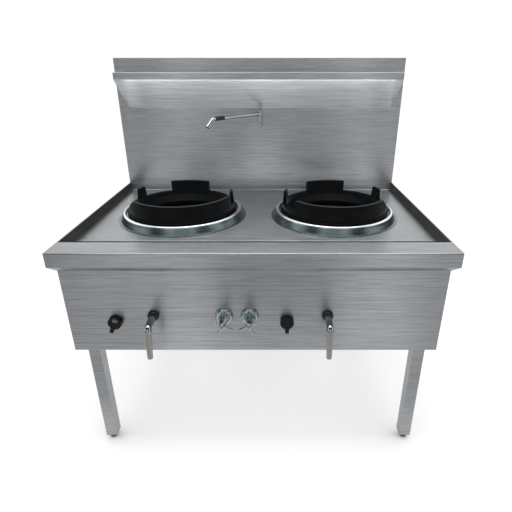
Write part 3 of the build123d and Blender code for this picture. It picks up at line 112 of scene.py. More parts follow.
class CastSettings(bpy.types.PropertyGroup):
    """Cast iron of the wok rings"""
    colour: bpy.props.FloatVectorProperty(
        name="Iron colour", description="Colour of the seasoned cast iron", subtype="COLOR", size=3,
        min=0, max=1, default=linear("#06090C"))
    # the grit of a real casting is finer; it is drawn coarser, so that it shows
    grit: bpy.props.FloatProperty(
        name="Sand grit", description="Grain of the sand-cast surface", default=1.6 * MM,
        unit="LENGTH", subtype="DISTANCE")
    edge: bpy.props.FloatProperty(
        name="Cast edge radius", description="Rounding of the cast edges", default=1.6 * MM,
        unit="LENGTH", subtype="DISTANCE")


class PlateSettings(bpy.types.PropertyGroup):
    """Chrome and satin plate of the taps, the spout and the levers"""
    chrome: bpy.props.FloatVectorProperty(
        name="Chrome colour", description="Face-on colour of the chrome plate", subtype="COLOR", size=3,
        min=0, max=1, default=linear("#9EA8AA"))
    satin: bpy.props.FloatVectorProperty(
        name="Satin colour", description="Face-on colour of the satin handles", subtype="COLOR", size=3,
        min=0, max=1, default=linear("#9E9E98"))
    edge: bpy.props.FloatProperty(
        name="Plate edge radius", description="Rounding of the turned and plated edges", default=0.6 * MM,
        unit="LENGTH", subtype="DISTANCE")


class StageSettings(bpy.types.PropertyGroup):
    """Floor, cards, room light and camera"""
    floor: bpy.props.FloatVectorProperty(
        name="Floor colour", description="Colour of the floor", subtype="COLOR", size=3,
        min=0, max=1, default=linear("#FAFAFA"))
    width: bpy.props.FloatProperty(
        name="Floor width", description="Width of the floor", default=60.0, unit="LENGTH",
        subtype="DISTANCE")
    sky: bpy.props.FloatProperty(
        name="Room light", description="Strength of the even light of the room", default=1.1, min=0)
    floor_card: bpy.props.FloatVectorProperty(
        name="Floor card colour", description="Colour of the cards on the floor that the front mirrors",
        subtype="COLOR", size=3, min=0, max=1, default=linear("#9C9D9F"))
    wall_card: bpy.props.FloatVectorProperty(
        name="Wall card colour", description="Colour of the upright cards that the splashback mirrors",
        subtype="COLOR", size=3, min=0, max=1, default=linear("#CCCED0"))
    lens: bpy.props.FloatProperty(
        name="Lens", description="Focal length of the camera in millimetres on a 36 mm sensor",
        default=29.84, unit="CAMERA")
    pitch: bpy.props.FloatProperty(
        name="Camera pitch", description="Downward tilt of the camera", default=math.radians(24.11),
        unit="ROTATION", subtype="ANGLE")


# ---- Helpers ----
def add_node(tree, kind, settings=None, links=None):
    """Adds one shader node; settings go to its own properties or to its sockets, links join sockets."""
    node = tree.nodes.new(kind)
    for key, value in (settings or {}).items():
        if isinstance(key, str) and hasattr(node, key):
            setattr(node, key, value)
        else:
            node.inputs[key].default_value = value
    for key, source in (links or {}).items():
        tree.links.new(source, node.inputs[key])
    return node


def new_material(name, colour, metallic, roughness, **sockets):
    """Material whose shader has its even values on its own sockets; returned with its tree and shader."""
    material = bpy.data.materials.new(name)
    material.use_nodes = True
    material.diffuse_color = (*colour, 1)
    tree = material.node_tree
    shader = tree.nodes["Principled BSDF"]
    shader.inputs["Base Color"].default_value = (*colour, 1)
    shader.inputs["Metallic"].default_value = metallic
    shader.inputs["Roughness"].default_value = roughness
    for socket, value in sockets.items():
        shader.inputs[socket.replace("_", " ")].default_value = value
    return material, tree, shader


def pattern(tree, scale, detail=2.0, rough=0.5, location=(0, 0, 0)):
    """Noise in object space; scale is (x, y, z) in cycles a metre."""
    place = add_node(tree, "ShaderNodeTexCoord")
    turned = add_node(tree, "ShaderNodeMapping", {"Scale": scale, "Location": location},
                      {"Vector": place.outputs["Object"]})
    noise = add_node(tree, "ShaderNodeTexNoise", {"Scale": 1.0, "Detail": detail, "Roughness": rough},
                     {"Vector": turned.outputs["Vector"]})
    return noise.outputs["Fac"]


def blend_colour(tree, factor, first, second, low=0.3, high=0.7):
    """Colour that goes from first to second as the factor goes from low to high."""
    ramp = add_node(tree, "ShaderNodeValToRGB", links={"Fac": factor})
    ramp.color_ramp.elements[0].position = low
    ramp.color_ramp.elements[0].color = (*first, 1)
    ramp.color_ramp.elements[1].position = high
    ramp.color_ramp.elements[1].color = (*second, 1)
    return ramp.outputs["Color"]


def spread(tree, noise, low, high):
    """Number that goes from low to high over the middle half of the noise's range."""
    mapped = add_node(tree, "ShaderNodeMapRange",
                      {"From Min": 0.25, "From Max": 0.75, "To Min": low, "To Max": high},
                      {"Value": noise})
    return mapped.outputs["Result"]


def tint_upwards(tree, tone, start, full, colour):
    """Tone that turns into a colour between two heights of the range."""
    place = add_node(tree, "ShaderNodeTexCoord")
    split = add_node(tree, "ShaderNodeSeparateXYZ", links={"Vector": place.outputs["Object"]})
    share = add_node(tree, "ShaderNodeMapRange", {"From Min": start, "From Max": full},
                     {"Value": split.outputs["Z"]})
    tinted = add_node(tree, "ShaderNodeMix", {"data_type": "RGBA", COLOUR_B: (*colour, 1)},
                      {FACTOR: share.outputs["Result"], COLOUR_A: tone})
    return tinted.outputs[COLOUR_MIXED]


def raise_surface(tree, shader, height, depth, strength):
    """Bump of a real depth in metres."""
    bump = add_node(tree, "ShaderNodeBump", {"Strength": strength, "Distance": depth}, {"Height": height})
    tree.links.new(bump.outputs["Normal"], shader.inputs["Normal"])


def shade(colour, amount):
    """Colour made darker or brighter."""
    return tuple(min(1.0, c * amount) for c in colour)


# ---- Materials ----
LINE_SHARES = (1, 3)            # long brush lines, and ones a third as long that break them up
DARK_LINE = 0.79                # tones of the brush lines, as shares of the sheet's colour
BRIGHT_LINE = 1.19
LYING_FROM = 0.85               # a face lies flat where its normal points this far up or down
HAZE_SIZE = 450 * MM            # cloudy patches of duller sheet
HAZE_HEIGHT = 330 * MM
HAZE_BLUR = 0.12                # what the haze adds to the sheet's blur
LINE_BLUR = 0.1                 # what the brush lines take from it
# dark colour painted on as shade in the gutter and inside the rims
PAINTED_SHADE_COLOUR = linear("#343332")

PAINTED_HIGHLIGHT_START = 8 * MM            # painted highlight along the collar's crest, below its top
PAINTED_HIGHLIGHT_FULL = 3 * MM
PAINTED_HIGHLIGHT_COLOUR = linear("#F4F8F9")

HEAT_SIZE = 70 * MM             # patches that the fire has browned
HEAT_HEIGHT = 50 * MM
HEAT_PLACE = (3, 1, 0)          # where in the noise the patches are taken from
WEAR_AND_HIGHLIGHT_START = 2.5 * MM         # the ring's top edges made lighter, below its top: rubbed wear and a painted highlight
WEAR_AND_HIGHLIGHT_FULL = 0.5 * MM
WEAR_AND_HIGHLIGHT_COLOUR = linear("#3A3E40")

DARK_GRAIN = 0.8                # tone of the darkest grain and lines, as a share of the colour
GRAIN_BLUR = (0.85, 1.15)       # blur over the grain, as shares of the finish's own
DRAWN_BLUR = (0.8, 1.2)         # and over the lines of a drawn finish


def brushed_stainless():
    """Brushed stainless sheet: fine level lines that draw every reflection out upright."""
    sheet = bpy.context.scene.wok_sheet
    colour = tuple(sheet.colour)
    material, tree, shader = new_material("brushed_stainless_sheet", colour, metallic=1.0,
                                          roughness=sheet.roughness, Anisotropic=0.75)
    place = add_node(tree, "ShaderNodeTexCoord")
    facing = add_node(tree, "ShaderNodeSeparateXYZ", links={"Vector": place.outputs["Normal"]})
    lying = add_node(tree, "ShaderNodeMath", {"operation": "ABSOLUTE"}, {FIRST: facing.outputs["Z"]})
    flat = add_node(tree, "ShaderNodeMath", {"operation": "GREATER_THAN", SECOND: LYING_FROM},
                    {FIRST: lying.outputs[RESULT]}).outputs[RESULT]
    along = 1 / sheet.streak
    across = 1 / sheet.grain
    layers = []
    for share in LINE_SHARES:
        upright = pattern(tree, (share * along, share * along, across), detail=1.0)
        level = pattern(tree, (share * along, across, share * along), detail=1.0)
        layer = add_node(tree, "ShaderNodeMix", {"data_type": "FLOAT"},
                         {FACTOR: flat, NUMBER_A: upright, NUMBER_B: level})
        layers.append(layer.outputs[NUMBER_MIXED])
    lines = add_node(tree, "ShaderNodeMix", {"data_type": "FLOAT", FACTOR: 0.5},
                     {NUMBER_A: layers[0], NUMBER_B: layers[1]}).outputs[NUMBER_MIXED]
    # the brush lines cross the direction that the shader stretches reflections in
    stretch = add_node(tree, "ShaderNodeMix",
                       {"data_type": "VECTOR", VECTOR_A: (0, 0, 1), VECTOR_B: (0, 1, 0)}, {FACTOR: flat})
    tree.links.new(stretch.outputs[VECTOR_MIXED], shader.inputs["Tangent"])
    bright = blend_colour(tree, lines, shade(colour, DARK_LINE), shade(colour, BRIGHT_LINE),
                          low=0.36, high=0.64)
    # painted shade: the gutter's rear wall and the inner walls of the rims are darkened in the colour,
    # standing in for the shade that falls there
    painted_shade = add_node(tree, "ShaderNodeAttribute", {"attribute_name": "painted_shade"}).outputs["Fac"]
    tone = add_node(tree, "ShaderNodeMix", {"data_type": "RGBA", COLOUR_B: (*PAINTED_SHADE_COLOUR, 1)},
                    {FACTOR: painted_shade, COLOUR_A: bright})
    tree.links.new(tone.outputs[COLOUR_MIXED], shader.inputs["Base Color"])
    haze = pattern(tree, (1 / HAZE_SIZE, 1 / HAZE_SIZE, 1 / HAZE_HEIGHT))
    streaked = spread(tree, lines, sheet.roughness - LINE_BLUR, sheet.roughness)
    rough = add_node(tree, "ShaderNodeMath", {"operation": "MULTIPLY_ADD", SECOND: HAZE_BLUR},
                     {FIRST: haze, THIRD: streaked})
    tree.links.new(rough.outputs[RESULT], shader.inputs["Roughness"])
    raise_surface(tree, shader, lines, depth=0.05 * MM, strength=0.3)
    return material


def lathe_lines(tree, centre_x, centre_y, pitch):
    """Noise that runs round both burners, as a lathe leaves it."""
    place = add_node(tree, "ShaderNodeTexCoord")
    own = add_node(tree, "ShaderNodeSeparateXYZ", links={"Vector": place.outputs["Object"]})
    # the left burner's lines are the right one's, folded over the middle
    folded = add_node(tree, "ShaderNodeVectorMath", {"operation": "ABSOLUTE"},
                      {FIRST: place.outputs["Object"]})
    split = add_node(tree, "ShaderNodeSeparateXYZ", links={"Vector": folded.outputs[RESULT]})
    across = add_node(tree, "ShaderNodeMath", {"operation": "SUBTRACT", SECOND: centre_x},
                      {FIRST: split.outputs["X"]})
    back = add_node(tree, "ShaderNodeMath", {"operation": "SUBTRACT", SECOND: centre_y},
                    {FIRST: own.outputs["Y"]})
    level = add_node(tree, "ShaderNodeCombineXYZ",
                     links={"X": across.outputs[RESULT], "Y": back.outputs[RESULT]})
    radius = add_node(tree, "ShaderNodeVectorMath", {"operation": "LENGTH"},
                      {FIRST: level.outputs["Vector"]})
    ring = add_node(tree, "ShaderNodeCombineXYZ",
                    links={"X": radius.outputs["Value"], "Y": own.outputs["Z"]})
    noise = add_node(tree, "ShaderNodeTexNoise", {"Scale": 1 / pitch, "Detail": 2.0},
                     {"Vector": ring.outputs["Vector"]})
    return noise.outputs["Fac"]


def spun_stainless():
    """Spun stainless with lathe lines, and a highlight painted along the collar's crest."""
    low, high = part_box("burner_collar_right")
    centre = (low + high) / 2
    colour = linear("#7C888B")
    material, tree, shader = new_material("spun_polished_stainless", colour, metallic=1.0, roughness=0.2)
    # real turning lines are finer; they are drawn coarser, so that they show
    rings = lathe_lines(tree, centre.x, centre.y, pitch=2.5 * MM)
    wall = blend_colour(tree, rings, shade(colour, DARK_GRAIN), colour)
    # a near-white highlight is painted on the crest
    tone = tint_upwards(tree, wall, high.z - PAINTED_HIGHLIGHT_START, high.z - PAINTED_HIGHLIGHT_FULL, PAINTED_HIGHLIGHT_COLOUR)
    tree.links.new(tone, shader.inputs["Base Color"])
    tree.links.new(spread(tree, rings, low=0.24, high=0.34), shader.inputs["Roughness"])
    raise_surface(tree, shader, rings, depth=0.04 * MM, strength=0.3)
    return material


def cast_iron():
    """Sand-cast grey iron, seasoned black with oil: a dull sheen on a fine grit, browned by the fire."""
    cast = bpy.context.scene.wok_cast
    material, tree, shader = new_material("seasoned_cast_iron", tuple(cast.colour), metallic=0.0,
                                          roughness=0.5, Specular_IOR_Level=0.05)
    grit = pattern(tree, (1 / cast.grit,) * 3, detail=3.0, rough=0.6)
    heat = pattern(tree, (1 / HEAT_SIZE, 1 / HEAT_SIZE, 1 / HEAT_HEIGHT), detail=3.0, rough=0.6,
                   location=HEAT_PLACE)
    tone = blend_colour(tree, heat, tuple(cast.colour), linear("#100E0D"), low=0.45, high=0.75)
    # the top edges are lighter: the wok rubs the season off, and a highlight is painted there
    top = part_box("wok_ring_right")[1].z
    worn_and_highlit = tint_upwards(tree, tone, top - WEAR_AND_HIGHLIGHT_START, top - WEAR_AND_HIGHLIGHT_FULL, WEAR_AND_HIGHLIGHT_COLOUR)
    tree.links.new(worn_and_highlit, shader.inputs["Base Color"])
    tree.links.new(spread(tree, grit, low=0.38, high=0.6), shader.inputs["Roughness"])
    raise_surface(tree, shader, grit, depth=0.3 * MM, strength=0.5)
    return material


def grained(name, colour, metallic, roughness, pitch, depth, darkest=DARK_GRAIN, **sockets):
    """Plain finish with a fine grain: its colour and gloss vary a little at the pitch of the grain."""
    material, tree, shader = new_material(name, colour, metallic, roughness, **sockets)
    grain = pattern(tree, (1 / pitch,) * 3, detail=3.0, rough=0.6)
    tone = blend_colour(tree, grain, shade(colour, darkest), colour)
    tree.links.new(tone, shader.inputs["Base Color"])
    sharpest, dullest = GRAIN_BLUR
    tree.links.new(spread(tree, grain, low=roughness * sharpest, high=roughness * dullest),
                   shader.inputs["Roughness"])
    raise_surface(tree, shader, grain, depth, strength=0.5)
    return material


def drawn(name, colour, roughness, along, across):
    """Metal brushed along its length, which stands upright."""
    material, tree, shader = new_material(name, colour, metallic=1.0, roughness=roughness)
    lines = pattern(tree, (1 / across, 1 / across, 1 / along))
    tone = blend_colour(tree, lines, shade(colour, DARK_GRAIN), colour)
    tree.links.new(tone, shader.inputs["Base Color"])
    sharpest, dullest = DRAWN_BLUR
    tree.links.new(spread(tree, lines, low=roughness * sharpest, high=roughness * dullest),
                   shader.inputs["Roughness"])
    raise_surface(tree, shader, lines, depth=0.03 * MM, strength=0.4)
    return material


def make_finishes():
    """Every finish of the range, by the record's material slot."""
    plate = bpy.context.scene.wok_plate
    return {
        "brushed_stainless": brushed_stainless(),
        "polished_stainless": spun_stainless(),
        "cast_iron": cast_iron(),
        # hot-rolled steel of the chambers, gas pipes, leg plugs and screws, dull with mill scale
        "mild_steel": grained("mill_scale_steel", linear("#4A4B4D"), metallic=0.7, roughness=0.5,
                              pitch=6 * MM, depth=0.1 * MM),
        # castable firebrick, rough and black with soot from the burner
        "refractory": grained("castable_refractory", linear("#39332E"), metallic=0.0, roughness=0.9,
                              pitch=5 * MM, depth=0.8 * MM, darkest=0.5),
        # turned brass, warm and fairly bright
        "brass": grained("turned_brass", linear("#C9A55A"), metallic=1.0, roughness=0.28,
                         pitch=2 * MM, depth=0.02 * MM),
        # drawn copper tube, slightly dulled
        "copper_pipe": grained("drawn_copper", linear("#C47F55"), metallic=1.0, roughness=0.32,
                               pitch=8 * MM, depth=0.02 * MM),
        # chrome plate over polished brass: near a mirror
        "chrome": grained("chrome_plate", tuple(plate.chrome), metallic=1.0, roughness=0.08,
                          pitch=3 * MM, depth=0.005 * MM, darkest=0.94),
        # satin nickel plate of the lever handles, brushed along the handle
        "satin_handle": drawn("satin_nickel_plate", tuple(plate.satin), roughness=0.4,
                              along=40 * MM, across=1.2 * MM),
        # blackened steel bosses behind the levers
        "dark_boss": grained("blackened_steel", linear("#3A3C3C"), metallic=1.0, roughness=0.26,
                             pitch=1.5 * MM, depth=0.02 * MM),
        # moulded phenolic of the knobs and feet, black with a soft shine
        "black_plastic": grained("phenolic_moulding", linear("#08090A"), metallic=0.0, roughness=0.14,
                                 pitch=1.2 * MM, depth=0.01 * MM, darkest=0.85, Specular_IOR_Level=0.3),
        # rubber sleeve on the spout, dead black
        "black_rubber": grained("nitrile_rubber", linear("#121212"), metallic=0.0, roughness=0.7,
                                pitch=0.8 * MM, depth=0.05 * MM, darkest=0.85),
        # moulded polypropylene of the waste trap, pale grey
        "waste_plastic": grained("moulded_polypropylene", linear("#C9C9C4"), metallic=0.0, roughness=0.45,
                                 pitch=2 * MM, depth=0.02 * MM, darkest=0.95),
    }


def finish_for(slot):
    """The material of one of the record's slots; all of them are made on first use."""
    if not FINISHES:
        FINISHES.update(make_finishes())
    return FINISHES[slot]


# ---- Pieces ----
CURVE_ANGLE = math.radians(35)  # a bend up to this angle is smooth
BEVEL_ANGLE = math.radians(40)  # an edge from this angle on is rounded
WELD = 0.002 * MM               # points of the CAD mesh this close are one
FLAT_ANGLE = math.radians(0.4)  # faces this close to level with each other are one

# rounding of the edges that no setting covers
DRUM_EDGE = 0.8 * MM
BURNER_EDGE = 0.6 * MM
BOSS_EDGE = 0.6 * MM
VALVE_EDGE = 0.5 * MM
JET_EDGE = 0.3 * MM
BASKET_EDGE = 0.3 * MM
KNOB_EDGE = 2.0 * MM
KNOB_SEGMENTS = 4
RING_SEGMENTS = 3

# where shade is painted on the worktop
RIM_MARGIN = 1 * MM             # the outer faces at the sides stay clean
END_MARGIN = 5 * MM             # and so do those at the front and back
PAINTED_SHADE_DEPTH = 60 * MM            # how far down the painted shade is laid
SQUARE_ON = 0.9                 # a wall's normal reaches at least this far along its axis
STEP_PAINTED_SHADE = 1.0                 # strength of the painted shade on the gutter's rear wall
RIM_PAINTED_SHADE = 0.78                 # and on the inner walls of the side rims


def slot_of(node):
    """Material slot that the record gives a CAD node."""
    for entry in frame["record"]["subparts"]:
        if entry["node"] == node:
            return entry["material_slot"]
    raise RuntimeError(f"the record has no slot for {node}")


def place_piece(name, shape, slot, body, bevel, segments):
    """Finished piece from a bmesh: smooth where it curves, its edges rounded, riding on its body."""
    mesh = bpy.data.meshes.new(name)
    shape.to_mesh(mesh)
    shape.free()
    mesh.shade_smooth()
    mesh.set_sharp_from_angle(angle=CURVE_ANGLE)
    mesh.materials.clear()
    mesh.materials.append(finish_for(slot))
    piece = bpy.data.objects.new(name, mesh)
    bpy.context.scene.collection.objects.link(piece)
    if bevel:
        rounding = piece.modifiers.new("Rounded edges", "BEVEL")
        rounding.width = bevel
        rounding.segments = segments
        rounding.limit_method = "ANGLE"
        rounding.angle_limit = BEVEL_ANGLE
        rounding.harden_normals = True
    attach(piece, body)
    return piece


def merged_shape(node):
    """The solid of a CAD node as a closed mesh with whole flat faces."""
    source = frame["nodes"][node].data.copy()
    if "custom_normal" in source.attributes:
        source.attributes.remove(source.attributes["custom_normal"])
    shape = bmesh.new()
    shape.from_mesh(source)
    bpy.data.meshes.remove(source)
    bmesh.ops.remove_doubles(shape, verts=shape.verts, dist=WELD)
    bmesh.ops.dissolve_limit(shape, angle_limit=FLAT_ANGLE, verts=shape.verts[:], edges=shape.edges[:])
    return shape


def finish_node(node, bevel=0.0, segments=2):
    """A CAD piece with rounded edges and its finish, in place of the plain solid."""
    body = frame["nodes"][node]["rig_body"]
    piece = place_piece(f"{node}_finished", merged_shape(node), slot_of(node), body, bevel, segments)
    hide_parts(node)
    return piece


def finish_group(nodes, bevel=0.0, segments=2):
    """Several CAD pieces with the same rounding."""
    for node in nodes:
        finish_node(node, bevel, segments)


def each_side(*names):
    """Names of the left and right pieces of each kind."""
    return [f"{name}_{side}" for name in names for side in SIDES]


def lay_painted_shade(worktop):
    """Marks the gutter's rear wall and the inner walls of the side rims, where shade is painted into the
    sheet's colour.
    """
    low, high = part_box("worktop")
    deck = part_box("deck_nozzles")[0].z
    painted_shade = worktop.data.attributes.new("painted_shade", "FLOAT", "FACE")
    for face in worktop.data.polygons:
        middle = face.center
        between_ends = low.y + END_MARGIN < middle.y < high.y - END_MARGIN
        inside = between_ends and abs(middle.x) < high.x - RIM_MARGIN
        gutter_height = deck - PAINTED_SHADE_DEPTH < middle.z < deck
        gutter_step = face.normal.y < -SQUARE_ON and middle.y < 0 and gutter_height
        rim_wall = abs(face.normal.x) > SQUARE_ON and middle.z > high.z - PAINTED_SHADE_DEPTH
        if inside and gutter_step:
            painted_shade.data[face.index].value = STEP_PAINTED_SHADE
        elif inside and rim_wall:
            painted_shade.data[face.index].value = RIM_PAINTED_SHADE


class WOK_OT_sheet_work(bpy.types.Operator):
    """Worktop, panels, splashback and shelf in brushed stainless sheet"""
    bl_idname = "wok.sheet_work"
    bl_label = "Sheet work"

    def execute(self, context):
        edge = context.scene.wok_sheet.edge
        sheets = ["front_panel", "rear_panel", "splashback", "splashback_cover", "splashback_shelf"]
        finish_group(sheets + each_side("side_panel"), edge)
        # the worktop gets shade painted in its gutter and inside its rims
        lay_painted_shade(finish_node("worktop", edge))
        finish_node("rear_screws", edge / 2)
        return {"FINISHED"}


class WOK_OT_legs(bpy.types.Operator):
    """Square legs, rails, plugs and levelling feet"""
    bl_idname = "wok.legs"
    bl_label = "Legs and feet"

    def execute(self, context):
        edge = context.scene.wok_sheet.edge
        finish_group(each_side("leg_front", "leg_rear") + ["leg_rails"], edge)
        finish_group(each_side("foot_front", "foot_rear"), edge)
        finish_node("leg_plugs")
        return {"FINISHED"}


class WOK_OT_collars(bpy.types.Operator):
    """Polished burner collars"""
    bl_idname = "wok.collars"
    bl_label = "Burner collars"

    def execute(self, context):
        finish_group(each_side("burner_collar"), context.scene.wok_sheet.edge)
        return {"FINISHED"}


class WOK_OT_wok_rings(bpy.types.Operator):
    """Cast-iron wok rings"""
    bl_idname = "wok.wok_rings"
    bl_label = "Wok rings"

    def execute(self, context):
        finish_group(each_side("wok_ring"), context.scene.wok_cast.edge, RING_SEGMENTS)
        return {"FINISHED"}


class WOK_OT_burners(bpy.types.Operator):
    """Chambers, linings, burners, injectors and pilots below the deck"""
    bl_idname = "wok.burners"
    bl_label = "Burners"

    def execute(self, context):
        finish_group(each_side("chamber_drum", "chamber_lining"), DRUM_EDGE)
        finish_group(each_side("burner"), BURNER_EDGE)
        finish_group(["gas_injectors", "pilot_burners"], JET_EDGE)
        return {"FINISHED"}


class WOK_OT_pipework(bpy.types.Operator):
    """Gas rail, valves, pipes, deck nozzles and the waste outlet"""
    bl_idname = "wok.pipework"
    bl_label = "Pipework"

    def execute(self, context):
        pipes = ["gas_manifold", "pilot_pipes", "water_supply_pipe", "spout_feed_pipe", "deck_feed_pipe",
                 "deck_nozzles", "waste_outlet"]
        finish_group(pipes + each_side("gas_supply_pipe"))
        finish_group(each_side("main_valve", "pilot_valve"), VALVE_EDGE)
        return {"FINISHED"}


class WOK_OT_knobs(bpy.types.Operator):
    """Black pointer knobs of the pilot valves"""
    bl_idname = "wok.knobs"
    bl_label = "Gas knobs"

    def execute(self, context):
        finish_group(each_side("gas_knob"), KNOB_EDGE, KNOB_SEGMENTS)
        return {"FINISHED"}


class WOK_OT_levers(bpy.types.Operator):
    """Knee levers: dark boss, chrome shaft and satin handle"""
    bl_idname = "wok.levers"
    bl_label = "Knee levers"

    def execute(self, context):
        finish_node("lever_bosses", BOSS_EDGE)
        finish_group(each_side("lever_shaft", "lever_handle"), context.scene.wok_plate.edge)
        return {"FINISHED"}


class WOK_OT_taps(bpy.types.Operator):
    """Cross-head taps with their domed plates"""
    bl_idname = "wok.taps"
    bl_label = "Taps"

    def execute(self, context):
        taps = each_side("tap_body", "tap_handle")
        finish_group(taps + ["tap_escutcheons"], context.scene.wok_plate.edge)
        return {"FINISHED"}


class WOK_OT_spout(bpy.types.Operator):
    """Wall elbow, swing arm and its black sleeve"""
    bl_idname = "wok.spout"
    bl_label = "Swing spout"

    def execute(self, context):
        finish_group(["spout_elbow", "spout_arm", "spout_sleeve"], context.scene.wok_plate.edge)
        return {"FINISHED"}


class WOK_OT_strainer(bpy.types.Operator):
    """Lift-out strainer basket of the gutter"""
    bl_idname = "wok.strainer"
    bl_label = "Strainer basket"

    def execute(self, context):
        finish_node("strainer_basket", BASKET_EDGE)
        return {"FINISHED"}


# ---- Stage ----
PAPER_ROUGHNESS = 0.9
WALL_Y = -4.0                   # the wall of cards behind the camera
WALL_HEIGHT = 3.2
WALL_END = 6.0                  # its ends in x, left and right
CEILING_START = -1.5            # the card overhead runs from this y back to the wall
CARD_HEIGHT = 3 * MM            # of the floor cards above the floor
DARK_CARD = linear("#2C2C2C")
# rows of grey cards on the floor: where a row starts and ends in y, and what its cards cover in x
CARD_ROWS = (
    (-0.52, -0.82, ((-5.0, -0.45), (0.45, 5.0))),
    (-1.0, -1.7, ((-5.0, -0.56), (-0.30, 0.44), (0.82, 5.0))),
    (-1.7, WALL_Y, ((-5.0, -1.70), (-0.85, 0.80), (1.60, 5.0))),
)
# what the cards of the wall cover in x; the outer two are dark, for the dark lines in round chrome
WALL_SPANS = ((-WALL_END, -2.4, "dark"), (-2.4, 2.4, "grey"), (2.4, WALL_END, "dark"))

AIM_HEIGHT = 2.0                # lamps that shine upwards look at a point right above them, at this z
DECK_GAP = 1 * MM               # deck lamp above the worktop's rim
UPSTAND_GAP = 2 * MM            # upstand lamp above the deck
UPSTAND_Y = 0.335               # middle of the strip of deck behind the rings
SHELF_GAP = 4 * MM              # shelf and lip lamps below the shelf
LIP_OUT = 12 * MM               # lip lamp in front of the shelf
LIP_DEPTH = 16 * MM
STRIP_SIZE = (0.05, 1.6)
STRIP_POWER = 1.5

# the photo's camera: right of the middle, in front of the worktop's front edge and above its rim
CAMERA_RIGHT = 56.1 * MM
CAMERA_FRONT = 1102.9 * MM
CAMERA_ABOVE = 486.2 * MM


def softbox(name, place, aim, size, power, mirrored=True):
    """Rectangular area light that looks at a point and isn't seen itself."""
    lamp = bpy.data.lights.new(name, "AREA")
    lamp.shape = "RECTANGLE"
    lamp.size, lamp.size_y = size
    lamp.energy = power
    light = bpy.data.objects.new(name, lamp)
    light.location = place
    light.rotation_euler = (Vector(aim) - Vector(place)).to_track_quat("-Z", "Y").to_euler()
    light.visible_camera = False
    light.visible_glossy = mirrored
    bpy.context.scene.collection.objects.link(light)


def upward_light(name, place, size, power):
    """Area light that shines straight up."""
    softbox(name, place, (place[0], place[1], AIM_HEIGHT), size, power)


def paper(name, colour):
    """Matt paper or card, which takes the light evenly."""
    return new_material(name, colour, metallic=0.0, roughness=PAPER_ROUGHNESS)[0]


def flat_sheet(name, corner, first, second, material):
    """Flat sheet of the stage: it starts at a corner and runs along two edges."""
    shape = bmesh.new()
    start = shape.verts.new(corner)
    line = bmesh.ops.extrude_vert_indiv(shape, verts=[start])
    bmesh.ops.translate(shape, verts=line["verts"], vec=first)
    side = bmesh.ops.extrude_edge_only(shape, edges=line["edges"])["geom"]
    moved = [item for item in side if isinstance(item, bmesh.types.BMVert)]
    bmesh.ops.translate(shape, verts=moved, vec=second)
    mesh = bpy.data.meshes.new(name)
    shape.to_mesh(mesh)
    shape.free()
    mesh.materials.append(material)
    sheet = bpy.data.objects.new(name, mesh)
    bpy.context.scene.collection.objects.link(sheet)
    return sheet


def mirrored_card(name, corner, first, second, material):
    """Card that shows only where the range mirrors it, and throws no shadow."""
    card = flat_sheet(name, corner, first, second, material)
    card.visible_camera = False
    card.visible_diffuse = False
    card.visible_shadow = False


def lay_floor(settings):
    """Floor, and the cards that the metal mirrors: on the floor, behind the camera and above it."""
    wide = settings.width
    flat_sheet("studio_floor", (-wide / 2, -wide / 2, 0), (wide, 0, 0), (0, wide, 0),
               paper("studio_paper", tuple(settings.floor)))
    floor_card = paper("grey_floor_card", tuple(settings.floor_card))
    wall_cards = {
        "grey": paper("grey_wall_card", tuple(settings.wall_card)),
        "dark": paper("black_wall_card", DARK_CARD),
    }
    for row, (near, far, spans) in enumerate(CARD_ROWS):
        for number, (start, end) in enumerate(spans):
            mirrored_card(f"floor_card_{row}_{number}", (start, far, CARD_HEIGHT), (end - start, 0, 0),
                          (0, near - far, 0), floor_card)
    for number, (start, end, tone) in enumerate(WALL_SPANS):
        mirrored_card(f"wall_card_{number}", (start, WALL_Y, 0), (end - start, 0, 0),
                      (0, 0, WALL_HEIGHT), wall_cards[tone])
    mirrored_card("ceiling_card", (-WALL_END, WALL_Y, WALL_HEIGHT), (2 * WALL_END, 0, 0),
                  (0, CEILING_START - WALL_Y, 0), wall_cards["dark"])


def light_room(scene, strength):
    """Even white light from all sides."""
    world = bpy.data.worlds.new("studio_room")
    world.use_nodes = True
    room = world.node_tree.nodes["Background"]
    room.inputs["Color"].default_value = (1, 1, 1, 1)
    room.inputs["Strength"].default_value = strength
    scene.world = world
    scene.view_settings.view_transform = "Standard"


def hang_lamps(rim):
    """Studio lamps over and round the range; rim is the height of the worktop's rim."""
    softbox("top_light", place=(0, -0.4, 3.4), aim=(0, 0.1, 0.8), size=(3.2, 1.0), power=40)
    # from the deck upwards: brightens the splashback's foot
    upward_light("deck_light", (0, 0, rim + DECK_GAP), size=(1.12, 0.7), power=1.7)
    # from the deck behind the rings: brightens the upstand
    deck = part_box("deck_nozzles")[0].z
    upward_light("upstand_light", (0, UPSTAND_Y, deck + UPSTAND_GAP), size=(1.1, 0.11), power=0.14)
    # from right below the shelf: brightens its sloped underside
    front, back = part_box("splashback_shelf")
    wide = back.x - front.x
    deep = back.y - front.y
    upward_light("shelf_light", (0, front.y + deep / 2, front.z - SHELF_GAP), (wide, deep), power=0.21)
    # narrow, below the shelf's lip: draws a bright line along its lower fold
    upward_light("lip_light", (0, front.y - LIP_OUT, front.z - SHELF_GAP), (wide, LIP_DEPTH), power=0.45)
    # upright strips left and right of the camera, for the glints on chrome and plastic
    softbox("left_strip", (-0.88, -2.6, 1.3), (-0.3, 0, 0.9), STRIP_SIZE, STRIP_POWER)
    softbox("right_strip", (0.95, -2.6, 1.3), (0.35, 0, 0.9), STRIP_SIZE, STRIP_POWER)
    # below the body: keeps its shadow on the floor pale
    softbox("shadow_light", place=(0, 0, 0.36), aim=(0, 0, 0), size=(0.96, 0.7), power=1.3,
            mirrored=False)


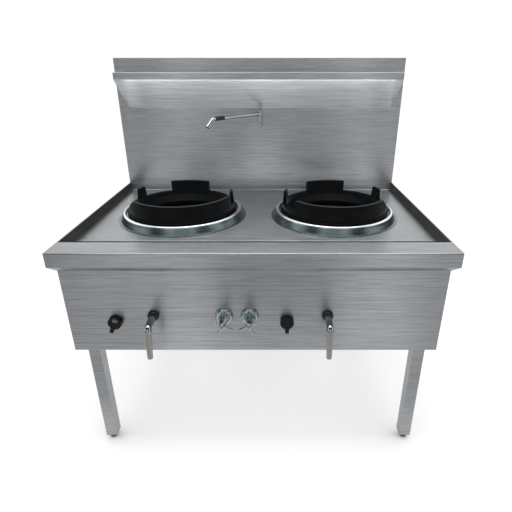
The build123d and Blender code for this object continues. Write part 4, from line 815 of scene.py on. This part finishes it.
def set_camera(scene, settings, front, rim):
    """Camera fitted to the photo; front and rim are the worktop's front edge and its rim's height."""
    camera_data = bpy.data.cameras.new("photo_camera")
    camera_data.sensor_width = 36
    camera_data.lens = settings.lens
    camera_data.shift_x = -0.0335
    camera = bpy.data.objects.new("photo_camera", camera_data)
    camera.location = (CAMERA_RIGHT, front - CAMERA_FRONT, rim + CAMERA_ABOVE)
    camera.rotation_euler = (math.pi / 2 - settings.pitch, 0, 0)
    scene.collection.objects.link(camera)
    scene.camera = camera


class WOK_OT_stage(bpy.types.Operator):
    """Floor, studio lights, room light and camera"""
    bl_idname = "wok.stage"
    bl_label = "Stage"

    def execute(self, context):
        settings = context.scene.wok_stage
        low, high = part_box("worktop")
        lay_floor(settings)
        light_room(context.scene, settings.sky)
        hang_lamps(high.z)
        set_camera(context.scene, settings, low.y, high.z)
        return {"FINISHED"}


# ---- Add-on ----
OPERATORS = (
    WOK_OT_sheet_work, WOK_OT_legs, WOK_OT_collars, WOK_OT_wok_rings, WOK_OT_burners, WOK_OT_pipework,
    WOK_OT_knobs, WOK_OT_levers, WOK_OT_taps, WOK_OT_spout, WOK_OT_strainer, WOK_OT_stage,
)


class WOK_PT_finishes(bpy.types.Panel):
    """Lists the pieces of the wok range"""
    bl_idname = "WOK_PT_finishes"
    bl_label = "Wok range"
    bl_space_type = "VIEW_3D"
    bl_region_type = "UI"
    bl_category = "Wok range"

    def draw(self, context):
        for operator in OPERATORS:
            self.layout.operator(operator.bl_idname)


CLASSES = (SheetSettings, CastSettings, PlateSettings, StageSettings, *OPERATORS, WOK_PT_finishes)


def register():
    for kind in CLASSES:
        bpy.utils.register_class(kind)
    bpy.types.Scene.wok_sheet = bpy.props.PointerProperty(type=SheetSettings)
    bpy.types.Scene.wok_cast = bpy.props.PointerProperty(type=CastSettings)
    bpy.types.Scene.wok_plate = bpy.props.PointerProperty(type=PlateSettings)
    bpy.types.Scene.wok_stage = bpy.props.PointerProperty(type=StageSettings)


def unregister():
    del bpy.types.Scene.wok_stage
    del bpy.types.Scene.wok_plate
    del bpy.types.Scene.wok_cast
    del bpy.types.Scene.wok_sheet
    for kind in reversed(CLASSES):
        bpy.utils.unregister_class(kind)


def main():
    register()
    for operator in OPERATORS:
        group, name = operator.bl_idname.split(".")
        getattr(getattr(bpy.ops, group), name)()


if __name__ == "__main__":
    main()
